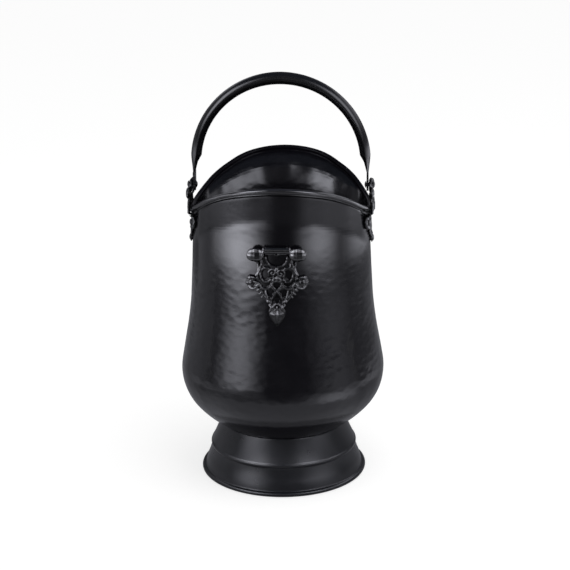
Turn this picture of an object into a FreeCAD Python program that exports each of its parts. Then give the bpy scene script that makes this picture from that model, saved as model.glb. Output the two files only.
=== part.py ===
import FreeCAD
import Part

import math
import os

import Sketcher
from FreeCAD import Placement, Rotation, Vector

# Coal bucket: a hammered steel shell with a rolled saddle rim, a spun foot, a swinging tube bail
# between two cast ears, and a pierced cast ornament on the front.
# The origin is the middle of the foot on the floor, +Z is up, the front is -Y, and the ears are at +X and -X.

# Driving dimensions in millimetres, angles in degrees: alias, value, meaning.
SIZES = (
    ("body_sheet", 1.0, "sheet of the shell"),
    ("belly_radius", 125.0, "widest outside radius of the shell"),
    ("belly_height", 134.5, "height of the widest point"),
    ("belly_round", 63.5, "radius of the belly's curve in profile"),
    ("bowl_bottom", 47.0, "lowest point of the bowl"),
    ("bowl_flat", 8.06, "radius of the flat in the middle of the bowl"),
    ("shoulder_lean", 10.2, "inward lean of the wall above the belly"),
    ("waist_round", 450.0, "radius of the hollow curve below the neck"),
    ("neck_start", 241.5, "height where the straight neck begins"),
    ("neck_lean", 3.0, "inward lean of the neck"),
    ("rim_dip_height", 338.2, "middle of the rim bead beside the ears"),
    ("rim_dip_round", 103.0, "radius of the dip in side view"),
    ("rim_lip_angle", 31.0, "rise of the rim towards the lips"),
    ("rim_bead_radius", 3.3, "radius of the rolled bead along the rim"),
    ("rim_bead_offset", 1.6, "bead's middle outside the wall"),
    ("seat_gap", 0.05, "gap between pieces that seat on each other"),
    ("foot_sheet", 1.2, "sheet of the foot"),
    ("foot_top_radius", 77.5, "outside radius of the foot under the bowl"),
    ("foot_flare_round", 75.0, "hollow curve above the ridge"),
    ("ridge_height", 34.8, "middle of the ridge round the foot"),
    ("ridge_spread", 13.1, "ridge outside the top of the foot"),
    ("ridge_round", 3.0, "radius of the ridge's own curve"),
    ("ridge_start", 2.4, "start of the ridge above its middle"),
    ("skirt_inset", 1.1, "top of the skirt in from the ridge"),
    ("base_spread", 9.0, "middle of the base bead outside the ridge"),
    ("base_overhang", 0.8, "middle of the base bead outside the skirt"),
    ("base_bead_round", 2.8, "radius of the base bead's own curve"),
    ("base_flat", 0.3, "depth of the flat that the base bead stands on"),
    ("lobe_offset", 23.3, "middle of a bar lobe from the casting's middle"),
    ("lobe_radius", 9.7, "radius of a bar lobe"),
    ("bar_thick", 5.4, "thickness of the bar"),
    ("bar_edge", 1.6, "rounding of the bar's face"),
    ("bar_half_height", 4.2, "half height of the bar between its collars"),
    ("bar_rise", 3.5, "bar's middle above the middle of its lobes"),
    ("collar_offset", 13.4, "collar from the casting's middle"),
    ("collar_width", 3.0, "width of a collar"),
    ("collar_half_height", 5.6, "half height of a collar"),
    ("web_thick", 4.5, "thickness of the pierced web"),
    ("shoulder_half", 18.5, "half width of the web under the bar"),
    ("hip_half", 24.5, "half width of the web beside the tabs"),
    ("hip_top", 28.0, "top of the hips below the lobes' middle"),
    ("hip_low", 44.0, "foot of the hips below the lobes' middle"),
    ("side_hollow", 2.0, "depth of the hollow in the web's upper sides"),
    ("stem_hollow", 3.5, "depth of the hollow in the web's lower sides"),
    ("stem_half", 6.0, "half width of the stem"),
    ("stem_low", 64.0, "foot of the stem below the lobes' middle"),
    ("arch_radius", 12.6, "radius of the arch under the bar"),
    ("arch_drop", 3.9, "middle of the arch below the lobes' middle"),
    ("tab_offset", 29.5, "middle of a tab from the casting's middle"),
    ("tab_drop", 35.5, "middle of a tab below the lobes' middle"),
    ("tab_radius", 7.3, "radius of a tab"),
    ("upper_eye_offset", 13.6, "upper eyes from the casting's middle"),
    ("upper_eye_drop", 26.0, "upper eyes below the lobes' middle"),
    ("upper_eye_width", 8.0, "width of an upper eye"),
    ("upper_eye_height", 12.5, "height of an upper eye"),
    ("middle_eye_drop", 37.5, "middle eye below the lobes' middle"),
    ("middle_eye_radius", 4.0, "radius of the middle eye"),
    ("lower_eye_offset", 8.4, "lower eyes from the casting's middle"),
    ("lower_eye_drop", 47.0, "lower eyes below the lobes' middle"),
    ("lower_eye_width", 6.0, "width of a lower eye"),
    ("lower_eye_height", 10.5, "height of a lower eye"),
    ("eye_tilt", 18.0, "lean of the eyes towards the stem"),
    ("stem_eye_drop", 56.0, "stem eye below the lobes' middle"),
    ("stem_eye_radius", 2.8, "radius of the stem eye"),
    ("leaf_half", 10.5, "half width of the ornament's leaf"),
    ("leaf_top", 61.0, "top of the leaf below the lobes' middle"),
    ("leaf_wide", 71.5, "widest part of the leaf below the lobes' middle"),
    ("leaf_tip", 86.4, "tip of the leaf below the lobes' middle"),
    ("ornament_drop", 27.9, "ornament's lobes below the rim's dip"),
    ("ornament_stand_off", 1.3, "bar of the ornament off the wall"),
    ("ear_rise", 22.1, "ears' lobes above the rim's dip"),
    ("ear_lobe_recess", 1.9, "lobes of an ear set back to let the bail's legs pass"),
    ("ear_cover", 2.6, "casting over the rim bead"),
    ("ear_bulge_low", 5.0, "bulge of an ear below the middle of the rim bead"),
    ("ear_bulge_high", 9.0, "bulge of an ear above the middle of the rim bead"),
    ("bud_radius", 5.0, "radius of the bud that ends an ear"),
    ("bud_drop", 61.5, "bud below the lobes' middle"),
    ("boss_radius", 6.5, "radius of the pivot boss on an ear"),
    ("tab_rivet_radius", 2.0, "shank of a tab rivet"),
    ("tab_rivet_head", 4.0, "radius of a tab rivet's heads"),
    ("tab_rivet_crown", 1.6, "height of a tab rivet's heads"),
    ("rivet_fit", 0.05, "radial room of a rivet that is set tight"),
    ("pivot_radius", 2.5, "shank of a pivot rivet"),
    ("pivot_head", 4.6, "radius of a pivot rivet's heads"),
    ("pivot_crown", 2.0, "height of a pivot rivet's heads"),
    ("pivot_fit", 0.08, "radial room of the bail on its pivot"),
    ("bail_side_gap", 0.4, "side room of the bail between ear and rivet head"),
    ("bail_arch_rise", 27.7, "start of the bail's arch above its pivots"),
    ("bail_leg_inset", 4.2, "middle of a leg's tube in from the ear's bar"),
    ("bail_tube_radius", 7.4, "radius of the bail's tube at the crown"),
    ("bail_leg_thick", 11.3, "thickness of the squeezed tube at a leg"),
    ("bail_leg_width", 17.5, "width of the squeezed tube at a leg"),
    ("bail_pinch_rise", 15.7, "flat end of a leg above its pivot"),
    ("bail_strip_thick", 2.4, "thickness of the flat end"),
    ("bail_strip_width", 20.5, "width of the flat end where it begins"),
    ("bail_eye_radius", 7.6, "radius of the flat end round its pivot"),
)

CASTING_SWEEP = 80.0

document = FreeCAD.newDocument("coal_bucket")


def fill_sheet():
    """Put the driving dimensions in a spreadsheet, one named cell each."""
    sheet = document.addObject("Spreadsheet::Sheet", "Sizes")
    for row, (alias, value, meaning) in enumerate(SIZES, start=1):
        sheet.set(f"A{row}", meaning)
        sheet.set(f"B{row}", str(value))
        sheet.setAlias(f"B{row}", alias)
    document.recompute()
    return sheet


sheet = fill_sheet()


def size(alias):
    """The number in a named cell."""
    return float(sheet.get(alias))


class Wall:
    """The shell's outside outline, worked out from the sheet: bowl, belly, shoulder, waist and neck."""

    def __init__(self):
        lean = math.radians(size("shoulder_lean"))
        self.neck_lean = math.radians(size("neck_lean"))
        belly_round = size("belly_round")
        waist_round = size("waist_round")
        self.neck_start = size("neck_start")
        self.belly_x = size("belly_radius") - belly_round
        self.belly_z = size("belly_height")
        self.bowl_x = size("bowl_flat")
        across = self.belly_x - self.bowl_x
        rise = self.belly_z - size("bowl_bottom")
        self.bowl_round = (across ** 2 + rise ** 2 - belly_round ** 2) / (2 * (rise - belly_round))
        self.bowl_z = size("bowl_bottom") + self.bowl_round
        self.bowl_turn = math.atan2(self.bowl_z - self.belly_z, across)
        self.shoulder_x = self.belly_x + belly_round * math.cos(lean)
        self.shoulder_z = self.belly_z + belly_round * math.sin(lean)
        self.waist_low_z = self.neck_start + waist_round * (math.sin(self.neck_lean) - math.sin(lean))
        self.waist_low_x = self.shoulder_x - (self.waist_low_z - self.shoulder_z) * math.tan(lean)
        self.waist_x = self.waist_low_x + waist_round * math.cos(lean)
        self.waist_z = self.waist_low_z + waist_round * math.sin(lean)
        self.neck_x = self.waist_x - waist_round * math.cos(self.neck_lean)
        self.waist_round = waist_round
        self.lean = lean

    def bowl_height(self, radius):
        """Height of the bowl's outside at a radius."""
        return self.bowl_z - math.sqrt(self.bowl_round ** 2 - (radius - self.bowl_x) ** 2)

    def point(self, height, offset=0.0):
        """Point of the waist or neck at a height, moved out square to the wall, in the XZ plane."""
        if height >= self.neck_start:
            radius = self.neck_x - (height - self.neck_start) * math.tan(self.neck_lean)
            turn = self.neck_lean
        else:
            turn = math.asin((self.waist_z - height) / self.waist_round)
            radius = self.waist_x - self.waist_round * math.cos(turn)
        return Vector(radius + offset * math.cos(turn), 0, height + offset * math.sin(turn))

    def radius(self, height):
        """Outside radius of the waist or neck at a height."""
        return self.point(height).x

    def line(self, low, high, offset):
        """Edges along the waist and neck from one height to another, at an offset."""
        if low >= self.neck_start:
            return [Part.LineSegment(self.point(low, offset), self.point(high, offset)).toShape()]
        middle = (low + self.neck_start) / 2
        joint = self.point(self.neck_start, offset)
        waist = Part.Arc(self.point(low, offset), self.point(middle, offset), joint).toShape()
        return [waist, Part.LineSegment(joint, self.point(high, offset)).toShape()]


wall = Wall()
reach = 2 * size("belly_radius")
ornament_height = size("rim_dip_height") - size("ornament_drop")
ear_height = size("rim_dip_height") + size("ear_rise")
ear_bar_inner = wall.radius(size("rim_dip_height"))
ear_bar_outer = ear_bar_inner + size("bar_thick")
pivot_height = ear_height + size("bar_rise")
strip_outer = ear_bar_inner - size("bail_side_gap")
strip_inner = strip_outer - size("bail_strip_thick")


def origin_plane(body, role):
    """One of a body's own origin planes."""
    return next(item for item in body.Origin.OriginFeatures if item.Role == role)


def new_sketch(body, name, role):
    """An empty sketch on one of its body's origin planes."""
    sketch = body.newObject("Sketcher::SketchObject", name)
    sketch.AttachmentSupport = (origin_plane(body, role), [""])
    sketch.MapMode = "FlatFace"
    return sketch


def arc(centre_x, centre_y, radius, start, end):
    """Arc of a circle in a sketch, counter-clockwise, angles in radians."""
    circle = Part.Circle(Vector(centre_x, centre_y, 0), Vector(0, 0, 1), radius)
    return Part.ArcOfCircle(circle, start, end)


def segment(start, end):
    """Straight line in a sketch."""
    return Part.LineSegment(Vector(start[0], start[1], 0), Vector(end[0], end[1], 0))


def constrain(sketch, *rules):
    """Add plain constraints, each a tuple of a kind and what it holds."""
    for rule in rules:
        sketch.addConstraint(Sketcher.Constraint(*rule))


def dimension(sketch, name, formula, *rule):
    """Add a driving dimension and bind it to the sheet."""
    index = sketch.addConstraint(Sketcher.Constraint(*rule))
    sketch.renameConstraint(index, name)
    sketch.setExpression(f"Constraints.{name}", formula)


def flat_faces(shape):
    """Names of the level faces of a shape, from the lowest to the highest."""
    level = []
    for index, face in enumerate(shape.Faces, start=1):
        if face.BoundBox.ZLength < 1e-6:
            level.append((face.BoundBox.ZMin, f"Face{index}"))
    return [name for _, name in sorted(level)]


def turned(body, kind, name, sketch):
    """Turn a sketch once round the vertical axis, to add it or to take it away."""
    feature = body.newObject(kind, name)
    feature.Profile = sketch
    feature.ReferenceAxis = (sketch, ["V_Axis"])
    feature.Angle = 360.0
    document.recompute()
    return feature


def hollowed(body, name, base, faces, cell):
    """Leave only a wall of the sheet's thickness, open at the named faces."""
    feature = body.newObject("PartDesign::Thickness", name)
    feature.Base = (base, faces)
    feature.Reversed = True
    feature.setExpression("Value", f"Sizes.{cell}")
    document.recompute()
    return feature


def shell_outline(body, name, inset):
    """Sketch of the shell from the middle of its bowl to the top of the blank: its outside, or inset by sheets."""
    sheet_in = inset * size("body_sheet")
    belly_round = size("belly_round") - sheet_in
    bowl_round = wall.bowl_round - sheet_in
    waist_round = size("waist_round") + sheet_in
    bottom = size("bowl_bottom") + sheet_in
    top = size("rim_dip_height") + size("belly_radius")
    lean = wall.lean
    neck_lean = wall.neck_lean
    turn = wall.bowl_turn
    shoulder_top = (wall.waist_x - waist_round * math.cos(lean), wall.waist_z - waist_round * math.sin(lean))
    neck_foot = (wall.waist_x - waist_round * math.cos(neck_lean), wall.waist_z - waist_round * math.sin(neck_lean))
    top_x = neck_foot[0] - (top - neck_foot[1]) * math.tan(neck_lean)
    half_turn = math.pi
    sketch = new_sketch(body, name, "XZ_Plane")
    floor, bowl, belly, shoulder, waist, neck, lid, axis = sketch.addGeometry([
        segment((0, bottom), (wall.bowl_x, bottom)),
        arc(wall.bowl_x, wall.bowl_z, bowl_round, -half_turn / 2, -turn),
        arc(wall.belly_x, wall.belly_z, belly_round, -turn, lean),
        segment((wall.belly_x + belly_round * math.cos(lean), wall.belly_z + belly_round * math.sin(lean)),
                shoulder_top),
        arc(wall.waist_x, wall.waist_z, waist_round, half_turn + neck_lean, half_turn + lean),
        segment(neck_foot, (top_x, top)),
        segment((top_x, top), (0, top)),
        segment((0, top), (0, bottom)),
    ])
    constrain(
        sketch,
        ("Horizontal", floor),
        ("Tangent", floor, 2, bowl, 1),
        ("Tangent", bowl, 2, belly, 1),
        ("Tangent", belly, 2, shoulder, 1),
        ("Tangent", shoulder, 2, waist, 2),
        ("Tangent", waist, 1, neck, 1),
        ("Coincident", neck, 2, lid, 1),
        ("Horizontal", lid),
        ("Coincident", lid, 2, axis, 1),
        ("PointOnObject", axis, 1, -2),
        ("Vertical", axis),
        ("Coincident", axis, 2, floor, 1),
    )
    thinner = f"{inset} * Sizes.body_sheet"
    dimension(sketch, "bowl_flat", "Sizes.bowl_flat", "DistanceX", -1, 1, floor, 2, wall.bowl_x)
    dimension(sketch, "belly_round", f"Sizes.belly_round - {thinner}", "Radius", belly, belly_round)
    dimension(sketch, "waist_round", f"Sizes.waist_round + {thinner}", "Radius", waist, waist_round)
    dimension(sketch, "belly_reach", "Sizes.belly_radius - Sizes.belly_round",
              "DistanceX", -1, 1, belly, 3, wall.belly_x)
    dimension(sketch, "belly_height", "Sizes.belly_height", "DistanceY", -1, 1, belly, 3, wall.belly_z)
    dimension(sketch, "bowl_bottom", f"Sizes.bowl_bottom + {thinner}", "DistanceY", -1, 1, floor, 1, bottom)
    dimension(sketch, "shoulder_lean", "90 deg + Sizes.shoulder_lean * 1 deg",
              "Angle", shoulder, half_turn / 2 + lean)
    dimension(sketch, "neck_lean", "90 deg + Sizes.neck_lean * 1 deg", "Angle", neck, half_turn / 2 + neck_lean)
    dimension(sketch, "neck_start", f"Sizes.neck_start - {thinner} * sin(Sizes.neck_lean * 1 deg)",
              "DistanceY", -1, 1, waist, 1, neck_foot[1])
    dimension(sketch, "blank_top", "Sizes.rim_dip_height + Sizes.belly_radius",
              "DistanceY", -1, 1, lid, 1, top)
    return sketch


def rim_trim(body):
    """Sketch in side view of what is cut off above the rim: a round dip and two rising lips."""
    dip = size("rim_dip_height")
    dip_round = size("rim_dip_round")
    angle = math.radians(size("rim_lip_angle"))
    reach = size("belly_radius")
    top = dip + 2 * reach
    touch = dip_round * math.sin(angle)
    touch_z = dip + dip_round * (1 - math.cos(angle))
    lip_z = touch_z + (reach - touch) * math.tan(angle)
    down = -math.pi / 2
    sketch = new_sketch(body, "rim_trim", "YZ_Plane")
    round_dip, back, back_side, lid, front_side, front = sketch.addGeometry([
        arc(0, dip + dip_round, dip_round, down - angle, down + angle),
        segment((touch, touch_z), (reach, lip_z)),
        segment((reach, lip_z), (reach, top)),
        segment((reach, top), (-reach, top)),
        segment((-reach, top), (-reach, lip_z)),
        segment((-reach, lip_z), (-touch, touch_z)),
    ])
    constrain(
        sketch,
        ("Tangent", round_dip, 2, back, 1),
        ("Coincident", back, 2, back_side, 1),
        ("Vertical", back_side),
        ("Coincident", back_side, 2, lid, 1),
        ("Horizontal", lid),
        ("Coincident", lid, 2, front_side, 1),
        ("Vertical", front_side),
        ("Coincident", front_side, 2, front, 1),
        ("Tangent", front, 2, round_dip, 1),
        ("Symmetric", back, 2, front, 1, -2),
        ("PointOnObject", round_dip, 3, -2),
    )
    dimension(sketch, "dip_round", "Sizes.rim_dip_round", "Radius", round_dip, dip_round)
    dimension(sketch, "dip_centre", "Sizes.rim_dip_height + Sizes.rim_dip_round",
              "DistanceY", -1, 1, round_dip, 3, dip + dip_round)
    dimension(sketch, "lip_angle", "Sizes.rim_lip_angle * 1 deg", "Angle", back, angle)
    dimension(sketch, "reach", "Sizes.belly_radius", "DistanceX", -1, 1, back, 2, reach)
    dimension(sketch, "top", "Sizes.rim_dip_height + 2 * Sizes.belly_radius", "DistanceY", -1, 1, lid, 1, top)
    return sketch


def rim_height(y):
    """Height of the rim bead's middle in side view."""
    dip_round = size("rim_dip_round")
    angle = math.radians(size("rim_lip_angle"))
    touch = dip_round * math.sin(angle)
    if abs(y) <= touch:
        return size("rim_dip_height") + dip_round - math.sqrt(dip_round ** 2 - y * y)
    start = size("rim_dip_height") + dip_round * (1 - math.cos(angle))
    return start + (abs(y) - touch) * math.tan(angle)


def rim_point(azimuth):
    """Point of the rim bead's middle line, by its angle from the front lip."""
    height = size("rim_dip_height")
    for _ in range(8):
        radius = wall.radius(height) + size("rim_bead_offset")
        height = rim_height(radius * math.cos(azimuth))
    return Vector(radius * math.sin(azimuth), -radius * math.cos(azimuth), height)


def rim_direction(azimuth):
    """Direction of the rim bead's middle line."""
    step = 0.0005
    return (rim_point(azimuth + step) - rim_point(azimuth - step)).normalize()


def tangent_arc(start, direction, end):
    """Arc that leaves a point in a direction and ends at another point."""
    chord = end - start
    side = chord - direction * chord.dot(direction)
    radius = chord.Length ** 2 / (2 * side.Length)
    centre = start + side.normalize() * radius
    halfway = ((start + end) / 2 - centre).normalize()
    return Part.Arc(start, centre + halfway * radius, end).toShape()


def rim_line():
    """Half of the rim bead's middle line, from the front lip to the back, in arcs that run into each other."""
    steps = 8
    edges = []
    for step in range(steps):
        first = math.pi * step / steps
        last = math.pi * (step + 1) / steps
        start, end = rim_point(first), rim_point(last)
        leave, arrive = rim_direction(first), rim_direction(last)
        chord = end - start
        run = chord.dot(leave + arrive)
        bend = 2 * (1 - leave.dot(arrive))
        pull = (math.sqrt(run ** 2 + bend * chord.dot(chord)) - run) / bend
        joint = (start + leave * pull + end - arrive * pull) / 2
        edges.append(tangent_arc(start, leave, joint))
        edges.append(tangent_arc(end, arrive * -1, joint))
    return Part.Wire(Part.__sortEdges__(edges))


def rim_bead():
    """Round bead along the whole rim: a half from lip to lip, and its mirror image."""
    section = Part.Circle(rim_point(0), Vector(1, 0, 0), size("rim_bead_radius"))
    half = rim_line().makePipe(Part.Face(Part.Wire(section.toShape())))
    return half.fuse(half.mirror(Vector(), Vector(1, 0, 0)))


def solid_object(label, shape):
    """A document object with a shape of its own."""
    item = document.addObject("Part::Feature", label)
    item.Label = label
    item.Shape = shape
    return item


def cut_object(label, base, *tools):
    """A boolean cut in the document, under the sub-part's own name."""
    item = document.addObject("Part::Cut", label)
    item.Label = label
    item.Base = base
    if len(tools) == 1:
        item.Tool = tools[0]
    else:
        group = document.addObject("Part::Compound", label + "_tools")
        group.Links = list(tools)
        item.Tool = group
    return item


def tab_places(middle_azimuth, lobe_height):
    """Placements of a casting's two tab rivets, each square to the wall, at the wall's outside."""
    places = []
    height = lobe_height - size("tab_drop")
    radius = wall.radius(height)
    swing = math.degrees(math.asin(size("tab_offset") / (radius + size("web_thick") / 2)))
    for side in (-1, 1):
        azimuth = middle_azimuth + side * swing
        turn = Rotation(Vector(0, 0, 1), azimuth).multiply(Rotation(Vector(0, 1, 0), 90 - size("neck_lean")))
        where = Rotation(Vector(0, 0, 1), azimuth).multVec(Vector(radius, 0, height))
        places.append(Placement(where, turn))
    return places


RIGHT, LEFT, FRONT = 0.0, 180.0, -90.0
CASTINGS = {"right_ear": (RIGHT, ear_height), "left_ear": (LEFT, ear_height),
            "front_ornament": (FRONT, ornament_height)}


def tab_drills():
    """Drills for the tab rivets, through the wall and the castings' tabs."""
    drills = []
    for name, (azimuth, height) in CASTINGS.items():
        for number, place in enumerate(tab_places(azimuth, height), start=1):
            drill = document.addObject("Part::Cylinder", f"{name}_drill_{number}")
            drill.setExpression("Radius", "Sizes.tab_rivet_radius + Sizes.rivet_fit")
            drill.setExpression("Height", "4 * Sizes.web_thick")
            drill.Placement = place.multiply(Placement(Vector(0, 0, -2 * size("web_thick")), Rotation()))
            drills.append(drill)
    return drills


def bucket_shell(drills):
    """Turned shell, hollowed, trimmed to the saddle rim, with its edge rolled to a bead."""
    body = document.addObject("PartDesign::Body", "shell_wall")
    turned(body, "PartDesign::Revolution", "shell_blank", shell_outline(body, "shell_outside", 0))
    turned(body, "PartDesign::Groove", "shell_hollow", shell_outline(body, "shell_inside", 1))
    trim = body.newObject("PartDesign::Pocket", "rim_cut")
    trim.Profile = rim_trim(body)
    trim.SideType = "Symmetric"
    trim.Type = "ThroughAll"
    document.recompute()
    joined = document.addObject("Part::MultiFuse", "shell_and_bead")
    joined.Shapes = [body, solid_object("rim_bead", rim_bead())]
    return cut_object("bucket_shell", joined, *drills)


def foot_outline(body):
    """Sketch of the foot's outside: hollow flare, ridge, and a skirt that swings out to the base."""
    top_x = size("foot_top_radius")
    top = wall.bowl_height(top_x - size("foot_sheet")) - size("seat_gap")
    flare = size("foot_flare_round")
    ridge_x = top_x + size("ridge_spread") - size("ridge_round")
    ridge_z = size("ridge_height")
    ridge_round = size("ridge_round")
    start = size("ridge_start")
    start_x = ridge_x + math.sqrt(ridge_round ** 2 - start ** 2)
    start_z = ridge_z + start
    waist_x = top_x + size("ridge_spread") - size("skirt_inset")
    waist_z = ridge_z - math.sqrt(ridge_round ** 2 - (waist_x - ridge_x) ** 2)
    base_x = top_x + size("ridge_spread") + size("base_spread") - size("base_overhang")
    base_z = size("base_bead_round") - size("base_flat")
    turn = 2 * math.atan2(base_x - waist_x, waist_z - base_z)
    swing = (waist_z - base_z) / math.sin(turn) / 2
    chord_x = (top_x + start_x) / 2
    chord_z = (top + start_z) / 2
    half_chord = math.hypot(start_x - top_x, top - start_z) / 2
    back = math.sqrt(flare ** 2 - half_chord ** 2) / (2 * half_chord)
    flare_x = chord_x + back * (top - start_z)
    flare_z = chord_z + back * (start_x - top_x)
    half_turn = math.pi
    sketch = new_sketch(body, "foot_outline", "XZ_Plane")
    lid, hollow, ridge_arc, upper, lower, floor, axis = sketch.addGeometry([
        segment((0, top), (top_x, top)),
        arc(flare_x, flare_z, flare, math.atan2(top - flare_z, top_x - flare_x),
            math.atan2(start_z - flare_z, start_x - flare_x) % (2 * half_turn)),
        arc(ridge_x, ridge_z, ridge_round, math.atan2(waist_z - ridge_z, waist_x - ridge_x),
            math.atan2(start, start_x - ridge_x)),
        arc(waist_x + swing, waist_z, swing, half_turn, half_turn + turn),
        arc(base_x - swing, base_z, swing, 0, turn),
        segment((base_x, base_z), (0, base_z)),
        segment((0, base_z), (0, top)),
    ])
    constrain(
        sketch,
        ("Horizontal", lid),
        ("Coincident", lid, 2, hollow, 1),
        ("Coincident", hollow, 2, ridge_arc, 2),
        ("Coincident", ridge_arc, 1, upper, 1),
        ("Tangent", upper, 2, lower, 2),
        ("Coincident", lower, 1, floor, 1),
        ("Horizontal", floor),
        ("Coincident", floor, 2, axis, 1),
        ("Vertical", axis),
        ("PointOnObject", axis, 1, -2),
        ("Coincident", axis, 2, lid, 1),
        ("Horizontal", upper, 3, upper, 1),
        ("Horizontal", lower, 3, lower, 1),
        ("Equal", upper, lower),
    )
    rise = "(Sizes.belly_height - Sizes.bowl_bottom)"
    across = "(Sizes.belly_radius - Sizes.belly_round - Sizes.bowl_flat)"
    bowl_round = f"(({across}^2 + {rise}^2 - Sizes.belly_round^2) / (2 * ({rise} - Sizes.belly_round)))"
    seat = (f"Sizes.bowl_bottom + {bowl_round} - Sizes.seat_gap"
            f" - sqrt({bowl_round}^2 - (Sizes.foot_top_radius - Sizes.foot_sheet - Sizes.bowl_flat)^2)")
    ridge = "Sizes.foot_top_radius + Sizes.ridge_spread"
    dimension(sketch, "top_radius", "Sizes.foot_top_radius", "DistanceX", -1, 1, lid, 2, top_x)
    dimension(sketch, "top_height", seat, "DistanceY", -1, 1, lid, 2, top)
    dimension(sketch, "flare_round", "Sizes.foot_flare_round", "Radius", hollow, flare)
    dimension(sketch, "ridge_round", "Sizes.ridge_round", "Radius", ridge_arc, ridge_round)
    dimension(sketch, "ridge_reach", f"{ridge} - Sizes.ridge_round", "DistanceX", -1, 1, ridge_arc, 3, ridge_x)
    dimension(sketch, "ridge_height", "Sizes.ridge_height", "DistanceY", -1, 1, ridge_arc, 3, ridge_z)
    dimension(sketch, "ridge_start", "Sizes.ridge_height + Sizes.ridge_start",
              "DistanceY", -1, 1, ridge_arc, 2, start_z)
    dimension(sketch, "skirt_top", f"{ridge} - Sizes.skirt_inset", "DistanceX", -1, 1, upper, 1, waist_x)
    dimension(sketch, "skirt_base", f"{ridge} + Sizes.base_spread - Sizes.base_overhang",
              "DistanceX", -1, 1, floor, 1, base_x)
    dimension(sketch, "base_height", "Sizes.base_bead_round - Sizes.base_flat", "DistanceY", -1, 1, floor, 1, base_z)
    return sketch


def base_bead_outline(body):
    """Sketch of the base bead: a round curl with a narrow flat that stands on the floor."""
    ring = size("foot_top_radius") + size("ridge_spread") + size("base_spread")
    curl = size("base_bead_round")
    height = curl - size("base_flat")
    half_flat = math.sqrt(curl ** 2 - height ** 2)
    low = math.atan2(-height, half_flat)
    sketch = new_sketch(body, "base_bead_outline", "XZ_Plane")
    bead, flat = sketch.addGeometry([
        arc(ring, height, curl, low, math.pi - low),
        segment((ring - half_flat, 0), (ring + half_flat, 0)),
    ])
    constrain(
        sketch,
        ("Coincident", bead, 2, flat, 1),
        ("Coincident", flat, 2, bead, 1),
        ("PointOnObject", flat, 1, -1),
        ("PointOnObject", flat, 2, -1),
    )
    dimension(sketch, "curl", "Sizes.base_bead_round", "Radius", bead, curl)
    dimension(sketch, "ring", "Sizes.foot_top_radius + Sizes.ridge_spread + Sizes.base_spread",
              "DistanceX", -1, 1, bead, 3, ring)
    dimension(sketch, "height", "Sizes.base_bead_round - Sizes.base_flat", "DistanceY", -1, 1, bead, 3, height)
    return sketch


def foot_skirt():
    """Spun foot with a ridge, seated under the bowl, its base edge rolled to a bead."""
    body = document.addObject("PartDesign::Body", "foot_skirt")
    blank = turned(body, "PartDesign::Revolution", "foot_blank", foot_outline(body))
    level = flat_faces(blank.Shape)
    hollowed(body, "foot_skin", blank, [level[0], level[-1]], "foot_sheet")
    turned(body, "PartDesign::Revolution", "base_bead", base_bead_outline(body))
    return body


def across(side, down):
    """Point of a casting's outline, measured from the middle of its bar, facing +X."""
    return Vector(0, side, -down)


def extruded(wire_or_face, start, end):
    """Prism along +X between two distances."""
    face = wire_or_face if wire_or_face.ShapeType == "Face" else Part.Face(wire_or_face)
    face.translate(Vector(start, 0, 0))
    return face.extrude(Vector(end - start, 0, 0))


def drum(side, down, radius, start, end):
    """Round prism along +X."""
    return Part.makeCylinder(radius, end - start, Vector(start, side, -down), Vector(1, 0, 0))


def oval(side, down, width, height, tilt):
    """Upright oval prism along +X, leaning by the tilt."""
    long_axis = Vector(0, math.sin(math.radians(tilt)), math.cos(math.radians(tilt)))
    middle = across(side, down)
    wide_axis = Vector(1, 0, 0).cross(long_axis)
    ellipse = Part.Ellipse(middle + long_axis * (height / 2), middle + wide_axis * (width / 2), middle)
    return extruded(Part.Wire(ellipse.toShape()), 0, reach)


def web_side(sign):
    """One side of the web's outline, from under the bar down to the stem, as edges."""
    shoulder = across(sign * size("shoulder_half"), 0)
    hip = across(sign * size("hip_half"), size("hip_top"))
    hip_foot = across(sign * size("hip_half"), size("hip_low"))
    stem = across(sign * size("stem_half"), size("stem_low"))
    upper = (shoulder + hip) / 2 - Vector(0, sign * size("side_hollow"), 0)
    lower = (hip_foot + stem) / 2 - Vector(0, sign * size("stem_hollow"), -size("stem_hollow"))
    return [
        Part.Arc(shoulder, upper, hip).toShape(),
        Part.LineSegment(hip, hip_foot).toShape(),
        Part.Arc(hip_foot, lower, stem).toShape(),
    ]


def casting_web(tail):
    """Pierced web of a casting as a long prism: hips, tabs, a tail, the arch and the eyes."""
    right = web_side(1)
    left = web_side(-1)
    top = Part.LineSegment(left[0].firstVertex().Point, right[0].firstVertex().Point).toShape()
    foot = Part.LineSegment(right[2].lastVertex().Point, left[2].lastVertex().Point).toShape()
    outline = Part.Wire(Part.__sortEdges__([top, *right, foot, *left]))
    web = extruded(outline, 0, reach)
    tabs = [drum(sign * size("tab_offset"), size("tab_drop"), size("tab_radius"), 0, reach) for sign in (-1, 1)]
    web = web.multiFuse([*tabs, tail])
    eyes = [drum(0, size("arch_drop"), size("arch_radius"), 0, reach),
            drum(0, size("middle_eye_drop"), size("middle_eye_radius"), 0, reach),
            drum(0, size("stem_eye_drop"), size("stem_eye_radius"), 0, reach)]
    for sign in (-1, 1):
        eyes.append(oval(sign * size("upper_eye_offset"), size("upper_eye_drop"),
                         size("upper_eye_width"), size("upper_eye_height"), -sign * size("eye_tilt")))
        eyes.append(oval(sign * size("lower_eye_offset"), size("lower_eye_drop"),
                         size("lower_eye_width"), size("lower_eye_height"), sign * size("eye_tilt")))
    return web.cut(eyes)


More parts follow.
